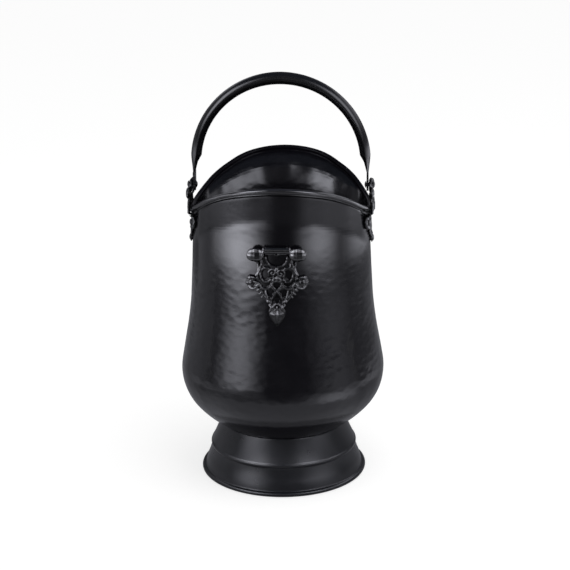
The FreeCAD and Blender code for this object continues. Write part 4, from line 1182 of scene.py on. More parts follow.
@dataclass
class Casting:
    """Pierced casting of scrolls and leaves, made flat and then bent to the wall.

    Attributes:
        name: Name of the piece and of the node that it stands for.
        wall: Wall that carries it.
        rim: Rim that an ear climbs over.
        azimuth: Its place round the bucket in degrees from +X.
        height: Height of its lobes.
        tail: What hangs at its lower end.
        voxel: Finest detail of the casting.
        seat_gap: Gap between the casting and what it lies on.
        stand_off: How far the bar stands off the wall.
        arch_drop: How far below the lobes the arch under the bar has its middle.
        arch_radius: Radius of that arch.
        web_skin: Thickness of the plate behind the scrolls.
        bulge_rise: Heights against the bead between which an ear climbs over it.
        bulge_fall: Heights against the bead between which an ear goes back in.
        lobe_recess: How much further in an ear's bar lies than its lobes.
        web_start: Distances below the lobes between which the casting comes to lie on the wall.
        lobe_start: Distances across between which the bar turns into the lobes.
        tab_start: Distances across between which the web turns into the riveted tabs.
        ear_depth: Depth of an ear's bar against the ornament's.
        ear_web_depth: How much less that is in the web.
        ear_tab_depth: How much more it is at the tabs.
        relief_full: Distance out from the wall that the paint takes as the full relief.
    """

    name: str
    wall: Wall
    rim: Rim
    azimuth: float
    height: float
    tail: Tail
    voxel: float = 0.45
    seat_gap: float = 0.05
    stand_off: float = 1.3
    arch_drop: float = 3.9
    arch_radius: float = 12.6
    web_skin: float = 2.0
    bulge_rise: Span = (-7.5, -4.0)
    bulge_fall: Span = (8.0, 13.0)
    lobe_recess: float = 1.9
    web_start: Span = (5.0, 13.0)
    lobe_start: Span = (14.5, 17.5)
    tab_start: Span = (20.0, 26.0)
    ear_depth: float = 0.68
    ear_web_depth: float = 0.04
    ear_tab_depth: float = 0.36
    relief_full: float = 6.0

    def bar(self) -> list[Rod | Knob]:
        """List the bar's shapes: lobes like scroll ends, collars, a straight middle and an ear's boss."""
        lobe = Rod(((23.2, 1.4, 3.9), (24.7, 1.4, 4.0), (26.2, 1.4, 3.9)), (8.6, 9.1, 8.6), flat=0.45)
        bosses: list[Rod | Knob] = []
        if self.tail is Tail.BUD:
            lobe = Rod(((22.4, 1.6, 3.6), (24.2, 1.6, 3.7), (26.0, 1.6, 3.6)), (6.6, 7.0, 6.6), flat=0.5)
            bosses = [Knob((0.0, -3.5, 3.6), (6.8, 6.8, 4.3), paired=False)]
        return [
            lobe,
            Rod(((18.6, 7.4, 2.6), (24.0, 8.8, 2.8), (29.6, 6.8, 2.6)), (1.0, 1.3, 0.9)),
            Knob((15.2, -2.4, 3.2), (1.5, 6.2, 3.2)),
            Knob((12.2, -3.8, 3.0), (1.0, 5.0, 3.0)),
            Rod(((-14.0, -3.8, 3.0), (-6.0, -4.2, 3.2), (0.0, -4.0, 3.2), (6.0, -4.2, 3.2), (14.0, -3.8, 3.0)),
                (3.6, 3.9, 3.6), False),
            Rod(((-11.5, 0.2, 2.8), (-5.0, 0.3, 2.8), (0.0, 2.0, 2.6), (5.0, 0.3, 2.8), (11.5, 0.2, 2.8)),
                (0.9, 1.2, 0.9), False),
            *bosses,
        ]

    def web(self) -> list[Rod | Knob]:
        """List the scrolls, vines and leaves of the pierced web."""
        return [
            Rod(((19.0, 5.5, 2.4), (17.2, 11.0, 2.4), (16.6, 17.0, 2.4)), (2.8, 2.2, 1.9)),
            Rod(((25.0, 7.4, 2.2), (22.2, 12.4, 2.6), (21.4, 19.0, 3.0), (24.6, 27.0, 2.8)), (1.3, 1.3, 1.1)),
            Rod(((17.6, 13.0, 3.2), (19.4, 18.8, 3.6), (22.4, 25.6, 3.4), (22.0, 30.4, 3.0)), (1.3, 1.4, 1.1)),
            Rod(((12.4, 4.6, 2.2), (11.6, 9.6, 2.4), (8.2, 14.0, 2.6), (0.0, 16.9, 2.8)), (1.4, 1.5, 1.5)),
            Rod(((7.4, 19.8, 3.0), (11.8, 17.4, 3.2), (16.2, 18.2, 3.0), (18.8, 23.2, 2.8), (18.4, 29.0, 2.8),
                 (15.4, 33.4, 3.0), (10.6, 33.8, 3.4)), (1.2, 1.5, 1.1)),
            Knob((0.0, 18.6, 3.2), (1.9, 2.2, 1.9), paired=False),
            Rod(((-9.4, 26.6, 2.6), (-9.0, 21.2, 3.2), (-4.6, 18.6, 3.8), (-1.6, 21.8, 4.0), (-4.0, 25.2, 4.0),
                 (-6.8, 23.4, 4.2), (-5.2, 21.8, 4.4)), (1.2, 1.2, 0.9), False),
            Rod(((8.4, 28.6, 2.6), (8.8, 22.6, 3.2), (5.0, 19.4, 3.8), (1.0, 22.4, 4.0), (3.2, 26.8, 4.0),
                 (6.2, 25.0, 4.2), (4.6, 22.8, 4.4)), (1.2, 1.2, 0.9), False),
            Knob((3.6, 30.6, 3.2), (3.6, 1.5, 1.6), 62.0),
            Knob((7.4, 31.2, 3.0), (3.6, 1.4, 1.6), 24.0),
            Knob((0.0, 29.6, 3.4), (1.5, 3.6, 1.8), paired=False),
            Rod(((0.0, 33.0, 3.0), (4.4, 34.6, 3.0), (5.2, 38.4, 2.8), (2.6, 42.0, 2.8), (0.0, 43.0, 2.8)),
                (1.2, 1.3, 1.1)),
            Rod(((26.4, 34.0, 4.0), (22.4, 35.0, 3.8), (18.4, 39.4, 3.6), (14.0, 41.8, 3.8), (9.6, 41.0, 3.6),
                 (6.4, 38.6, 3.2)), (1.2, 1.7, 1.0)),
            Knob((22.6, 38.2, 3.0), (4.2, 2.5, 2.3), 38.0),
            Knob((21.4, 43.6, 2.6), (4.0, 2.0, 2.2), 24.0),
            Knob((19.4, 48.0, 2.4), (3.6, 1.7, 1.9), 34.0),
            Knob((16.8, 51.6, 2.3), (3.2, 1.5, 1.8), 46.0),
            Rod(((16.6, 40.2, 2.8), (17.8, 46.0, 2.4), (14.6, 52.4, 2.4), (10.6, 57.4, 2.6)), (1.2, 1.6, 1.4)),
            Rod(((12.6, 41.4, 3.0), (12.8, 46.6, 3.2), (11.6, 52.0, 3.2), (9.4, 56.4, 3.0)), (0.9, 1.3, 1.1)),
            Rod(((-6.6, 40.6, 2.8), (-1.0, 44.4, 3.4), (3.8, 49.6, 3.2), (6.2, 54.6, 2.8)), (0.8, 0.9, 0.9),
                False),
            Rod(((6.6, 41.4, 2.4), (0.8, 44.6, 2.4), (-3.6, 49.8, 2.4), (-6.0, 54.6, 2.6)), (0.8, 0.9, 0.9),
                False),
            Knob((10.4, 57.2, 3.0), (2.0, 2.0, 1.9)),
            Rod(((9.0, 57.0, 2.6), (6.2, 59.8, 2.8), (1.8, 58.8, 3.0)), (1.2, 1.2, 0.8)),
            Rod(((8.0, 58.0, 2.4), (6.6, 61.4, 2.6), (5.4, 65.0, 2.6)), (1.5, 1.5, 1.4)),
            Knob((29.6, 35.5, 1.5), (7.0, 6.8, 3.1)),
            Knob((31.6, 30.4, 2.2), (3.6, 3.2, 2.2)),
            Knob((34.0, 36.0, 2.0), (2.9, 3.4, 2.1)),
            Knob((30.4, 41.0, 2.2), (3.6, 3.0, 2.2)),
            Rod(((21.8, 31.4, 3.4), (25.2, 29.6, 4.2), (29.4, 28.8, 4.0), (33.2, 30.8, 3.4)), (0.9, 1.0, 0.7)),
            Rod(((22.6, 40.6, 3.2), (26.4, 42.2, 3.8), (30.6, 42.6, 3.6), (33.6, 40.2, 3.2)), (0.9, 1.0, 0.7)),
        ]

    def leaf(self) -> list[Rod | Knob]:
        """List the shapes round the pointed leaf's blade: curls above it, a knob and a rim."""
        return [
            Rod(((9.2, 61.4, 2.6), (6.6, 64.6, 3.8), (8.8, 69.0, 3.2)), (1.2, 1.7, 1.2)),
            Rod(((0.8, 60.0, 3.6), (4.0, 62.6, 4.0), (5.0, 66.0, 3.8)), (1.0, 1.2, 0.8)),
            Knob((0.0, 64.6, 3.0), (1.6, 3.0, 2.2), paired=False),
            Rod(((8.9, 69.8, 1.6), (8.4, 74.4, 1.5), (4.4, 81.2, 1.4), (0.0, 87.0, 1.2)), (0.8, 0.7, 0.6)),
        ]

    def bud(self) -> list[Rod | Knob]:
        """List the shapes of an ear's tail: two small knobs over a round bud."""
        return [
            Knob((0.0, 56.4, 3.0), (3.4, 1.8, 2.4), paired=False),
            Knob((4.6, 60.0, 2.2), (2.2, 1.8, 1.9)),
            Knob((0.0, 62.0, 3.2), (4.9, 4.7, 3.9), paired=False),
        ]

    def blade(self, rows: int = 30, columns: int = 25) -> Skin:
        """Lay out the leaf's blade: two halves that slope to the sides, with a cut along the middle.

        Args:
            rows: Rows from its base to its tip.
            columns: Points across its front.

        Returns:
            Points and faces.
        """
        downs = np.linspace(63.0, 87.6, rows)
        shares = np.linspace(-1.0, 1.0, columns)
        half = np.interp(downs, [63.0, 66.5, 72.0, 76.0, 82.0, 87.6], [3.0, 7.4, 9.3, 8.2, 4.6, 0.2])
        full = np.interp(downs, [63.0, 69.0, 73.0, 81.0, 87.6], [1.0, 3.2, 4.4, 2.4, 0.5])
        slope = 0.25 + 0.75 * (1 - np.abs(shares) ** 1.25)
        cut = 1 - 0.4 * np.exp(-(shares / 0.13) ** 2)
        front = 1.0 + np.outer(full, slope * cut)
        across = np.outer(half, shares)
        down = np.outer(downs, np.ones(columns))
        back = np.stack([across, down, np.zeros_like(front)], axis=-1)[:, ::-1]
        loops = np.concatenate([np.stack([across, down, front], axis=-1), back], axis=1)
        return loops.reshape(-1, 3), tube_faces(rows, 2 * columns)

    def loops(self) -> list[list[Span]]:
        """Trace the thin pierced plate behind the scrolls.

        Returns:
            Its outline and then its holes, as distance across and distance below the lobes.
        """
        top = arc((0.0, self.arch_drop), self.arch_radius, np.linspace(math.pi, 0.0, 22))
        side = [(18.4, 3.0), (19.0, 12.0), (20.6, 20.0), (24.0, 28.0), (24.4, 36.0), (24.0, 44.0),
                (17.4, 50.4), (11.0, 57.0), (6.0, 64.0)]
        if self.tail is Tail.LEAF:
            side += [(8.4, 68.5), (8.6, 73.0), (5.0, 80.0), (0.0, 87.0)]
        else:
            side += [(4.6, 65.0), (0.0, 66.4)]
        holes = [(0.0, 37.6, 3.6, 3.6, 0.0), (0.0, 56.2, 2.6, 2.6, 0.0)]
        for sign in (-1, 1):
            holes.append((13.6 * sign, 26.0, 3.8, 6.0, -18.0 * sign))
            holes.append((8.6 * sign, 47.4, 2.8, 5.0, 18.0 * sign))
        loops = [[*top.tolist(), *side, *[(-across, down) for across, down in side[-2::-1]]]]
        for across, down, wide, tall, tilt in holes:
            lean = math.radians(tilt)
            oval = arc((0.0, 0.0), 1.0, turns(24)) * np.array([wide, tall])
            turned = oval @ np.array([[math.cos(lean), math.sin(lean)], [-math.sin(lean), math.cos(lean)]])
            loops.append((turned + np.array([across, down])).tolist())
        return loops

    def plate(self) -> Skin:
        """Cut the thin pierced plate behind the scrolls.

        Returns:
            Points and faces.
        """
        curve = bpy.data.curves.new(self.name + "_plate", "CURVE")
        curve.dimensions = "2D"
        curve.fill_mode = "BOTH"
        curve.extrude = self.web_skin / 2
        for loop in self.loops():
            spline = curve.splines.new("POLY")
            spline.points.add(len(loop) - 1)
            for point, (across, down) in zip(spline.points, loop):
                point.co = (across, down, 0.0, 1.0)
            spline.use_cyclic_u = True
        item = bpy.data.objects.new(self.name + "_plate", curve)
        mesh = bpy.data.meshes.new_from_object(item)
        work = bmesh.new()
        work.from_mesh(mesh)
        bmesh.ops.remove_doubles(work, verts=work.verts[:], dist=1e-4)
        work.verts.index_update()
        points = np.array([vertex.co for vertex in work.verts]) + np.array([0.0, 0.0, self.web_skin / 2])
        faces = [tuple(vertex.index for vertex in face.verts) for face in work.faces]
        work.free()
        bpy.data.objects.remove(item)
        bpy.data.curves.remove(curve)
        bpy.data.meshes.remove(mesh)
        return points, faces

    def flat(self) -> Item:
        """Join all shapes of the casting while it is flat, and let them flow together.

        Returns:
            The flat casting: across, up and out.
        """
        meshes = [self.plate()]
        shapes = self.bar() + self.web()
        if self.tail is Tail.LEAF:
            meshes.append(self.blade())
            shapes += self.leaf()
        else:
            shapes += self.bud()
        for shape in shapes:
            skin, quads = shape.mesh()
            meshes.append((skin, quads))
            if shape.paired:
                meshes.append((skin * MIRROR, [tuple(face)[::-1] for face in quads]))
        points: list[Array] = []
        faces: Faces = []
        count = 0
        for skin, quads in meshes:
            points.append(skin * np.array([1.0, -1.0, 1.0]))
            faces += [tuple(point + count for point in face) for face in quads]
            count += len(skin)
        item = new_piece(self.name + "_casting", np.concatenate(points), faces)
        remesh = item.modifiers.new("flow", "REMESH")
        remesh.mode = "VOXEL"
        remesh.voxel_size = self.voxel * MM
        remesh.use_smooth_shade = True
        smooth = item.modifiers.new("cast_skin", "SMOOTH")
        smooth.factor = 0.5
        smooth.iterations = 1
        settle(item)
        return item

    def back(self, height: Array) -> Array:
        """Find how far from the bucket's axis the back of the casting lies.

        Args:
            height: Heights above the floor.

        Returns:
            Radii of the casting's back.
        """
        base = self.wall.radius(height) + self.seat_gap
        if self.tail is Tail.LEAF:
            return base
        bead = self.rim.dip_height
        wall = float(self.wall.radius(bead))
        over = wall + self.rim.bead_offset + self.rim.bead_radius + self.seat_gap
        above = height - bead
        climb = base + (over - base) * ease(*self.bulge_rise, above)
        fall = over + (wall + self.lobe_recess - over) * ease(*self.bulge_fall, above)
        return np.where(above < 0, climb, fall)

    def bend(self, item: Item) -> None:
        """Bend the flat casting to the wall, and keep how far each point stands out.

        Args:
            item: The flat casting.
        """
        mesh = item.data
        flat = np.empty(len(mesh.vertices) * 3)
        mesh.vertices.foreach_get("co", flat)
        across, up, out = (flat.reshape(-1, 3) / MM).T
        out = np.maximum(out, 0.0)
        height = self.height + up
        web = ease(*self.web_start, -up)
        front = float(self.wall.radius(self.height)) + self.stand_off
        if self.tail is Tail.BUD:
            front = float(self.wall.radius(self.rim.dip_height))
            lobes = ease(*self.lobe_start, np.abs(across)) * (1 - web)
            tabs = ease(*self.tab_start, np.abs(across)) * web
            depth = self.ear_depth - self.ear_web_depth * web + self.ear_tab_depth * tabs
            out = out * depth + self.lobe_recess * lobes
        depth = (1 - web) * (front + out) + web * np.sqrt((self.back(height) + out) ** 2 - across ** 2)
        turn = math.radians(self.azimuth)
        placed = np.column_stack([depth * math.cos(turn) - across * math.sin(turn),
                                  depth * math.sin(turn) + across * math.cos(turn), height])
        mesh.vertices.foreach_set("co", (placed * MM).reshape(-1))
        # The relief sets the paint's gloss: painted shade in the low parts near the wall and painted glints on
        # the raised parts.
        add_layer(item, "relief", np.clip(out / self.relief_full, 0.0, 1.0))
        mesh.update()

    def build(self, material: Paint) -> None:
        """Make the casting and hang it on the bucket.

        Args:
            material: Its paint.
        """
        item = self.flat()
        self.bend(item)
        item.data.materials.clear()
        item.data.materials.append(material)
        put_on(item, Body.BUCKET, "cast_iron", self.name)


@dataclass
class Rivets:
    """Round-headed rivets of the castings and of the bail's pivots; sizes are shank, head and crown."""

    wall: Wall
    finish: PaintedMetal = RIVET_STEEL
    spokes: int = 28
    head_rows: int = 6
    tab_offset: float = 29.5
    tab_drop: float = 35.5
    web_thick: float = 4.5
    sheet: float = 1.0
    seat_gap: float = 0.05
    tab_sizes: Point = (2.0, 4.0, 1.6)
    pivot_sizes: Point = (2.5, 4.6, 2.0)
    pivot_height: float = 363.8
    pivot_seat: float = 102.105
    pivot_grip: float = 8.65
    spin: float = 6.28
    seed: int = 3

    def blank(self, name: str, sizes: Point, grip: float) -> Item:
        """Turn one rivet that stands on its inner head's seat.

        Args:
            name: Name of the blank.
            sizes: Shank radius, head radius and crown.
            grip: Length between the heads.

        Returns:
            The rivet at the origin, along Z.
        """
        shank, head, crown = sizes
        dome = (head ** 2 + crown ** 2) / (2 * crown)
        lean = np.linspace(0.0, math.asin(head / dome), self.head_rows + 1)[1:]
        cap = arc((0.0, crown - dome), dome, math.pi / 2 - lean)
        section = np.concatenate([cap * np.array([1.0, -1.0]), [[shank, 0.0], [shank, grip]],
                                  cap[::-1] + np.array([0.0, grip])])
        rows = revolve(section, arc((0.0, 0.0), 1.0, turns(self.spokes)))
        points = np.concatenate([*rows, [[0.0, 0.0, -crown], [0.0, 0.0, grip + crown]]])
        return new_piece(name, points, pole_faces(len(rows), self.spokes))

    def tree(self, name: str) -> Tree:
        """Build the tree that sets a rivet at every place.

        Args:
            name: Name of the tree.

        Returns:
            The node tree.
        """
        tree, given = new_tree(name, {"Blank": "NodeSocketObject", "Spin": "NodeSocketFloat",
                                      "Seed": "NodeSocketInt", "Material": "NodeSocketMaterial"})
        blank = add_node(tree, "GeometryNodeObjectInfo",
                         {"Object": given.outputs["Blank"], "As Instance": True})
        axis = add_node(tree, "GeometryNodeInputNamedAttribute", {"Name": "axis"}, data_type="FLOAT_VECTOR")
        aim = add_node(tree, "FunctionNodeAlignRotationToVector", {"Vector": axis.outputs["Attribute"]},
                       axis="Z")
        spin = add_node(tree, "FunctionNodeRandomValue", {
            "Max": given.outputs["Spin"], "Seed": given.outputs["Seed"]}, data_type="FLOAT")
        turn = add_node(tree, "FunctionNodeAxisAngleToRotation",
                        {"Axis": (0.0, 0.0, 1.0), "Angle": spin.outputs[1]})
        aimed = add_node(tree, "FunctionNodeRotateRotation", {
            "Rotation": aim.outputs[0], "Rotate By": turn.outputs[0]}, rotation_space="LOCAL")
        placed = add_node(tree, "GeometryNodeInstanceOnPoints", {
            "Points": given.outputs[0], "Instance": blank.outputs["Geometry"], "Rotation": aimed.outputs[0]})
        end_tree(tree, placed.outputs[0], given.outputs["Material"])
        return tree

    def drive(self, name: str, blank: Item, places: Sequence[Array], axes: Sequence[Array],
              material: Paint, nodes: Sequence[str]) -> None:
        """Set rivets at places and hang them on the bucket.

        Args:
            name: Name of the piece.
            blank: The rivet to repeat.
            places: Seats of the inner heads.
            axes: Directions of the rivets.
            material: Their paint.
            nodes: Nodes that they stand for.
        """
        item = new_piece(name, np.array(places), [])
        layer = item.data.attributes.new("axis", "FLOAT_VECTOR", "POINT")
        layer.data.foreach_set("vector", np.array(axes, np.float32).reshape(-1))
        give_nodes(item, self.tree(name + "_setting"),
                   {"Blank": blank, "Spin": self.spin, "Seed": self.seed, "Material": material})
        bpy.data.objects.remove(blank)
        put_on(item, Body.BUCKET, "rivet_steel", *nodes)

    def build(self, castings: Mapping[str, Span]) -> None:
        """Make the tab rivets and the pivot rivets.

        Args:
            castings: Azimuth from +X in degrees and lobe height of each casting.
        """
        material = self.finish.build()
        lean = self.wall.neck_lean
        places, axes = [], []
        depth = 0.0
        for azimuth, lobe_height in castings.values():
            height = lobe_height - self.tab_drop
            radius = float(self.wall.radius(height))
            inside = radius - self.sheet
            depth = self.sheet + inside - math.sqrt(inside ** 2 - self.tab_sizes[1] ** 2) + self.seat_gap
            swing = math.asin(self.tab_offset / (radius + self.web_thick / 2))
            for side in (-1, 1):
                turn = math.radians(azimuth) + side * swing
                x, y = math.cos(turn), math.sin(turn)
                axis = np.array([x * math.cos(lean), y * math.cos(lean), math.sin(lean)])
                places.append(np.array([radius * x, radius * y, height]) - axis * depth)
                axes.append(axis)
        blank = self.blank("tab_rivet_blank", self.tab_sizes, depth + self.web_thick + self.seat_gap)
        self.drive("tab_rivets", blank, places, axes, material, [name + "_rivets" for name in castings])
        blank = self.blank("pivot_rivet_blank", self.pivot_sizes, self.pivot_grip)
        right = np.array([self.pivot_seat, 0.0, self.pivot_height])
        out = np.array([1.0, 0.0, 0.0])
        self.drive("pivot_rivets", blank, [right, right * MIRROR], [out, out * MIRROR], material,
                   ["right_pivot_rivet", "left_pivot_rivet"])


COOL_WHITE = "f4f5ff"
SKY_WHITE = "d4e2ff"
# Points along and up a lamp, whose light fades, and a card, which is even.
LAMP_GRID = (41, 21)
CARD_GRID = (25, 2)


@dataclass(frozen=True)
class Screen:
    """Curved sheet round part of the bucket, which only gloss meets: a lamp with soft edges or an even card.

    Attributes:
        name: Its name.
        span: Its first and last angle from the front in degrees, positive to the right.
        reach: Distances of its lower and upper edge from the bucket's axis, in metres.
        rise: Heights of its lower and upper edge, in metres.
        level: Its brightness in the middle, where one is white.
        soft: Shares of a lamp's width, and of its height at the bottom and at the top, over which it fades.
        tint: Its colour in sRGB.
    """

    name: str
    span: Span
    reach: Span
    rise: Span
    level: float
    soft: Point | None = None
    tint: str = COOL_WHITE

    def build(self) -> None:
        """Stand the sheet; a lamp adds its light to what lies behind it."""
        columns, rows = LAMP_GRID if self.soft else CARD_GRID
        around = compass(np.radians(np.linspace(*self.span, columns)))
        section = zip(np.linspace(*self.reach, rows), np.linspace(*self.rise, rows))
        faces = [face for face in grid_faces(rows, columns) if face[1] > face[0]]
        sheet = new_piece(self.name, np.concatenate(revolve(section, around)) / MM, faces, False)
        material = bpy.data.materials.new(self.name + ("_cloth" if self.soft else "_paper"))
        material.use_nodes = True
        tree = material.node_tree
        tree.nodes.remove(tree.nodes["Principled BSDF"])
        light = add_node(tree, "ShaderNodeEmission", {"Color": linear(self.tint), "Strength": self.level})
        if self.soft:
            self.fade(sheet, columns, rows)
            power = add_node(tree, "ShaderNodeMath", {0: layer_value(tree, "fade"), 1: self.level},
                             operation="MULTIPLY")
            tree.links.new(power.outputs[0], light.inputs["Strength"])
            clear = add_node(tree, "ShaderNodeBsdfTransparent")
            light = add_node(tree, "ShaderNodeAddShader", {0: clear.outputs[0], 1: light.outputs[0]})
        tree.links.new(light.outputs[0], tree.nodes["Material Output"].inputs["Surface"])
        sheet.data.materials.append(material)
        sheet.visible_camera = False
        sheet.visible_diffuse = False
        sheet.visible_shadow = False

    def fade(self, sheet: Item, columns: int, rows: int) -> None:
        """Give each point of a lamp its share of the light.

        Args:
            sheet: The lamp's sheet.
            columns: Points along it.
            rows: Points up it.
        """
        side, low, high = (max(share, TINY) for share in self.soft)
        along = np.linspace(0.0, 1.0, columns)
        upward = np.linspace(0.0, 1.0, rows)
        add_layer(sheet, "fade", np.outer(ease(0.0, low, upward) * ease(0.0, high, 1 - upward),
                                          ease(0.0, side, along) * ease(0.0, side, 1 - along)))


LAMPS = (
    Screen("left_low_lamp", (-77.0, -14.0), (0.72, 0.72), (0.05, 0.29), 3.9, (0.5, 0.25, 0.45)),
    Screen("right_low_lamp", (28.0, 97.0), (1.1, 1.1), (0.0, 0.2), 0.75, (0.5, 0.0, 0.4)),
    Screen("left_upper_lamp", (-91.0, -4.0), (0.37, 0.37), (0.205, 0.3), 7.8, (0.5, 0.5, 0.3)),
    Screen("right_upper_lamp", (13.0, 76.0), (0.37, 0.37), (0.221, 0.3), 6.6, (0.5, 0.6, 0.25)),
    Screen("right_foot_lamp", (18.0, 84.0), (0.25, 0.25), (0.035, 0.1), 2.0, (0.5, 0.3, 0.3)),
    Screen("left_strip", (-110.0, -44.0), (0.45, 0.45), (0.3, 0.4), 3.0, (0.5, 0.15, 0.25)),
    Screen("right_strip", (56.0, 140.0), (0.45, 0.45), (0.3, 0.4), 3.4, (0.4, 0.15, 0.25)),
    Screen("right_edge_lamp", (68.0, 150.0), (0.37, 0.37), (0.2, 0.3), 2.4, (0.4, 0.5, 0.3)),
    Screen("right_side_lamp", (64.0, 160.0), (0.9, 0.9), (0.55, 1.3), 1.3, (0.3, 0.2, 0.3)),
    Screen("left_back_lamp", (-168.0, -112.0), (0.9, 0.9), (0.6, 1.4), 1.3, (0.4, 0.2, 0.3)),
    Screen("left_softbox", (-76.0, -14.0), (1.15, 1.15), (0.5, 1.5), 7.4, (0.4, 0.2, 0.1)),
    Screen("right_softbox", (14.0, 76.0), (1.15, 1.15), (0.5, 1.5), 5.2, (0.4, 0.2, 0.1)),
    Screen("near_table_lamp", (-115.0, 115.0), (0.13, 0.46), (0.0012, 0.0012), 0.66, (0.25, 0.0, 0.4)),
    Screen("left_neck_lamp", (-122.0, -4.0), (0.42, 0.82), (0.0014, 0.0014), 0.72, (0.4, 0.25, 0.2)),
    Screen("right_neck_lamp", (8.0, 140.0), (0.42, 0.82), (0.0014, 0.0014), 0.85, (0.35, 0.25, 0.2)),
    Screen("left_table_lamp", (-96.0, -14.0), (0.72, 1.05), (0.0016, 0.0016), 0.5, (0.5, 0.3, 0.0)),
    Screen("right_table_lamp", (26.0, 99.0), (0.72, 1.05), (0.0016, 0.0016), 0.55, (0.5, 0.3, 0.0)),
)
CARDS = (
    Screen("front_card", (-25.0, 30.0), (0.85, 0.85), (0.0, 0.41), 0.08),
    Screen("front_middle_card", (-12.0, 15.0), (0.85, 0.85), (0.41, 0.54), 0.65),
    Screen("front_top_card", (-25.0, 30.0), (1.28, 1.28), (0.4, 1.5), 0.16),
    Screen("left_front_card", (-86.0, -25.0), (1.3, 1.3), (0.0, 1.5), 0.16),
    Screen("right_front_card", (30.0, 86.0), (1.3, 1.3), (0.0, 1.5), 0.16),
    Screen("left_card", (-125.0, -86.0), (0.92, 0.92), (0.0, 1.5), 0.42),
    Screen("left_back_card", (-180.0, -125.0), (0.92, 0.92), (0.0, 1.5), 0.14),
    Screen("right_card", (86.0, 130.0), (0.92, 0.92), (0.0, 1.5), 0.22),
    Screen("right_back_card", (130.0, 180.0), (0.92, 0.92), (0.0, 1.5), 0.2),
    Screen("table_card", (-180.0, -95.0), (0.13, 0.92), (0.001, 0.001), 0.28),
    Screen("other_table_card", (95.0, 180.0), (0.13, 0.92), (0.001, 0.001), 0.28),
    Screen("front_table_card", (-95.0, 95.0), (0.13, 1.3), (0.001, 0.001), 0.13),
    Screen("shadow_ring", (-180.0, 180.0), (0.1, 0.13), (0.0004, 0.001), 0.3),
    Screen("roof", (-180.0, 180.0), (1.32, 0.01), (1.5, 1.9), 0.2, tint=SKY_WHITE),
)


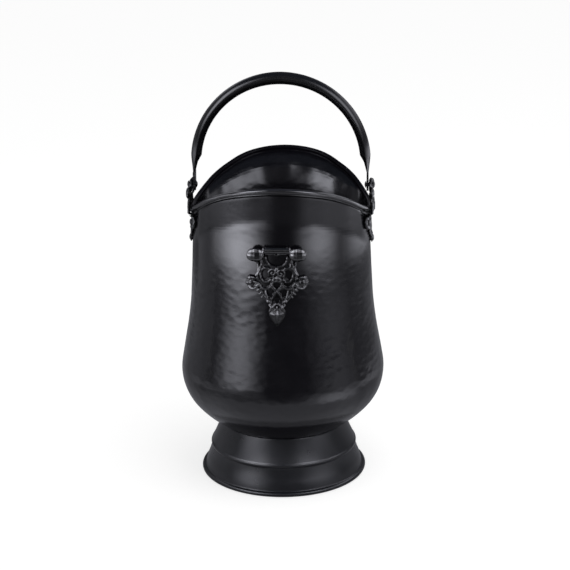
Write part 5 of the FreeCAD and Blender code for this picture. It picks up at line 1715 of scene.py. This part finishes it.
@dataclass
class Studio:
    """Floor, lamps, cards and camera; lengths in metres."""

    camera_distance: float = 2.0
    camera_turn: float = math.radians(3.0)
    camera_side: float = 0.0036
    camera_height: float = 0.8833
    camera_pitch: float = math.radians(17.913)
    camera_roll: float = math.radians(0.6)
    camera_near: float = 0.05
    focal_pixels: float = 1720.9
    image_pixels: float = 570.0
    floor_reach: float = 14.0
    floor_height: float = -0.0005
    floor_glow: float = 0.70
    floor_grey: str = "b0b0b0"
    world_light: float = 0.6
    top_place: Point = (0.6, -0.6, 2.3)
    top_aim: Point = (0.0, 0.0, 0.2)
    top_width: float = 1.6
    top_level: float = 2.4

    def white_rays(self, tree: Tree) -> Socket:
        """Tell which rays see the white surroundings: those of the camera, of gloss and of glass.

        Args:
            tree: Node tree of the floor or the world.

        Returns:
            Socket that is one for those rays.
        """
        path = add_node(tree, "ShaderNodeLightPath").outputs
        shiny = add_node(tree, "ShaderNodeMath", {0: path["Is Glossy Ray"], 1: path["Is Transmission Ray"]},
                         operation="MAXIMUM")
        return add_node(tree, "ShaderNodeMath", {0: path["Is Camera Ray"], 1: shiny.outputs[0]},
                        operation="MAXIMUM").outputs[0]

    def floor(self) -> None:
        """Lay a pale floor that looks white and still takes a shadow."""
        corners = [(-1, -1), (1, -1), (1, 1), (-1, 1)]
        points = [(x * self.floor_reach, y * self.floor_reach, self.floor_height) for x, y in corners]
        floor = new_piece("floor", np.array(points) / MM, [(0, 1, 2, 3)], False)
        material = bpy.data.materials.new("white_studio_paper")
        material.use_nodes = True
        tree = material.node_tree
        shader = tree.nodes["Principled BSDF"]
        shader.inputs["Base Color"].default_value = linear(self.floor_grey)
        shader.inputs["Roughness"].default_value = 0.9
        shader.inputs["Specular IOR Level"].default_value = 0.0
        glow = add_node(tree, "ShaderNodeEmission", {"Color": linear("ffffff"), "Strength": self.floor_glow})
        both = add_node(tree, "ShaderNodeAddShader", {0: shader.outputs[0], 1: glow.outputs[0]})
        mix = add_node(tree, "ShaderNodeMixShader",
                       {0: self.white_rays(tree), 1: shader.outputs[0], 2: both.outputs[0]})
        tree.links.new(mix.outputs[0], tree.nodes["Material Output"].inputs["Surface"])
        floor.data.materials.append(material)

    def world(self) -> None:
        """Surround the bucket with white, and light it plainly."""
        world = bpy.data.worlds.new("studio")
        bpy.context.scene.world = world
        world.use_nodes = True
        tree = world.node_tree
        back = tree.nodes["Background"]
        back.inputs["Color"].default_value = linear("ffffff")
        level = add_node(tree, "ShaderNodeMapRange",
                         {"Value": self.white_rays(tree), "To Min": self.world_light, "To Max": 1.0})
        tree.links.new(level.outputs["Result"], back.inputs["Strength"])

    def overhead(self) -> None:
        """Hang a square soft lamp that points at the bucket from above and to the right."""
        data = bpy.data.lights.new("top_box", "AREA")
        data.size = self.top_width
        data.energy = self.top_level * math.pi * self.top_width ** 2
        item = bpy.data.objects.new("top_box", data)
        item.location = self.top_place
        aim = Vector(self.top_aim) - Vector(self.top_place)
        item.rotation_euler = aim.to_track_quat("-Z", "Y").to_euler()
        item.visible_camera = False
        item.visible_glossy = False
        bpy.context.scene.collection.objects.link(item)

    def camera(self) -> None:
        """Set the camera at the photograph's angle."""
        data = bpy.data.cameras.new("camera")
        data.sensor_fit = "AUTO"
        data.angle = 2 * math.atan(self.image_pixels / 2 / self.focal_pixels)
        data.clip_start = self.camera_near
        item = bpy.data.objects.new("camera", data)
        turn, pitch = self.camera_turn, self.camera_pitch
        item.location = (self.camera_distance * math.sin(turn) + self.camera_side,
                         -self.camera_distance * math.cos(turn), self.camera_height)
        look = Vector((-math.sin(turn) * math.cos(pitch), math.cos(turn) * math.cos(pitch), -math.sin(pitch)))
        turned = look.to_track_quat("-Z", "Y") @ Quaternion((0.0, 0.0, 1.0), -self.camera_roll)
        item.rotation_euler = turned.to_euler()
        bpy.context.scene.collection.objects.link(item)
        bpy.context.scene.camera = item

    def build(self) -> None:
        """Set up the whole studio."""
        bpy.context.scene.view_settings.view_transform = "Standard"
        self.floor()
        self.world()
        for lamp in LAMPS:
            lamp.build()
        self.overhead()
        for card in CARDS:
            card.build()
        self.camera()


# Heights of the ears' lobes above the rim's dips and of the ornament's lobes below them.
EAR_RISE = 22.1
ORNAMENT_DROP = 27.9


def main() -> None:
    """Build every piece in order, then the studio."""
    logging.basicConfig(level=logging.INFO, format="%(name)s: %(message)s")
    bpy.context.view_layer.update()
    wall = Wall()
    rim = Rim(wall)
    ear_height = rim.dip_height + EAR_RISE
    castings = {"right_ear": (0.0, ear_height), "left_ear": (180.0, ear_height),
                "front_ornament": (-90.0, rim.dip_height - ORNAMENT_DROP)}
    HammeredShell(wall, rim).build()
    SpunFoot(wall).build()
    Bail().build()
    Rivets(wall).build(castings)
    iron = CAST_IRON.build()
    for name, (azimuth, height) in castings.items():
        tail = Tail.LEAF if name == "front_ornament" else Tail.BUD
        Casting(name, wall, rim, azimuth, height, tail).build(iron)
    Studio().build()


if __name__ == "__main__":
    main()
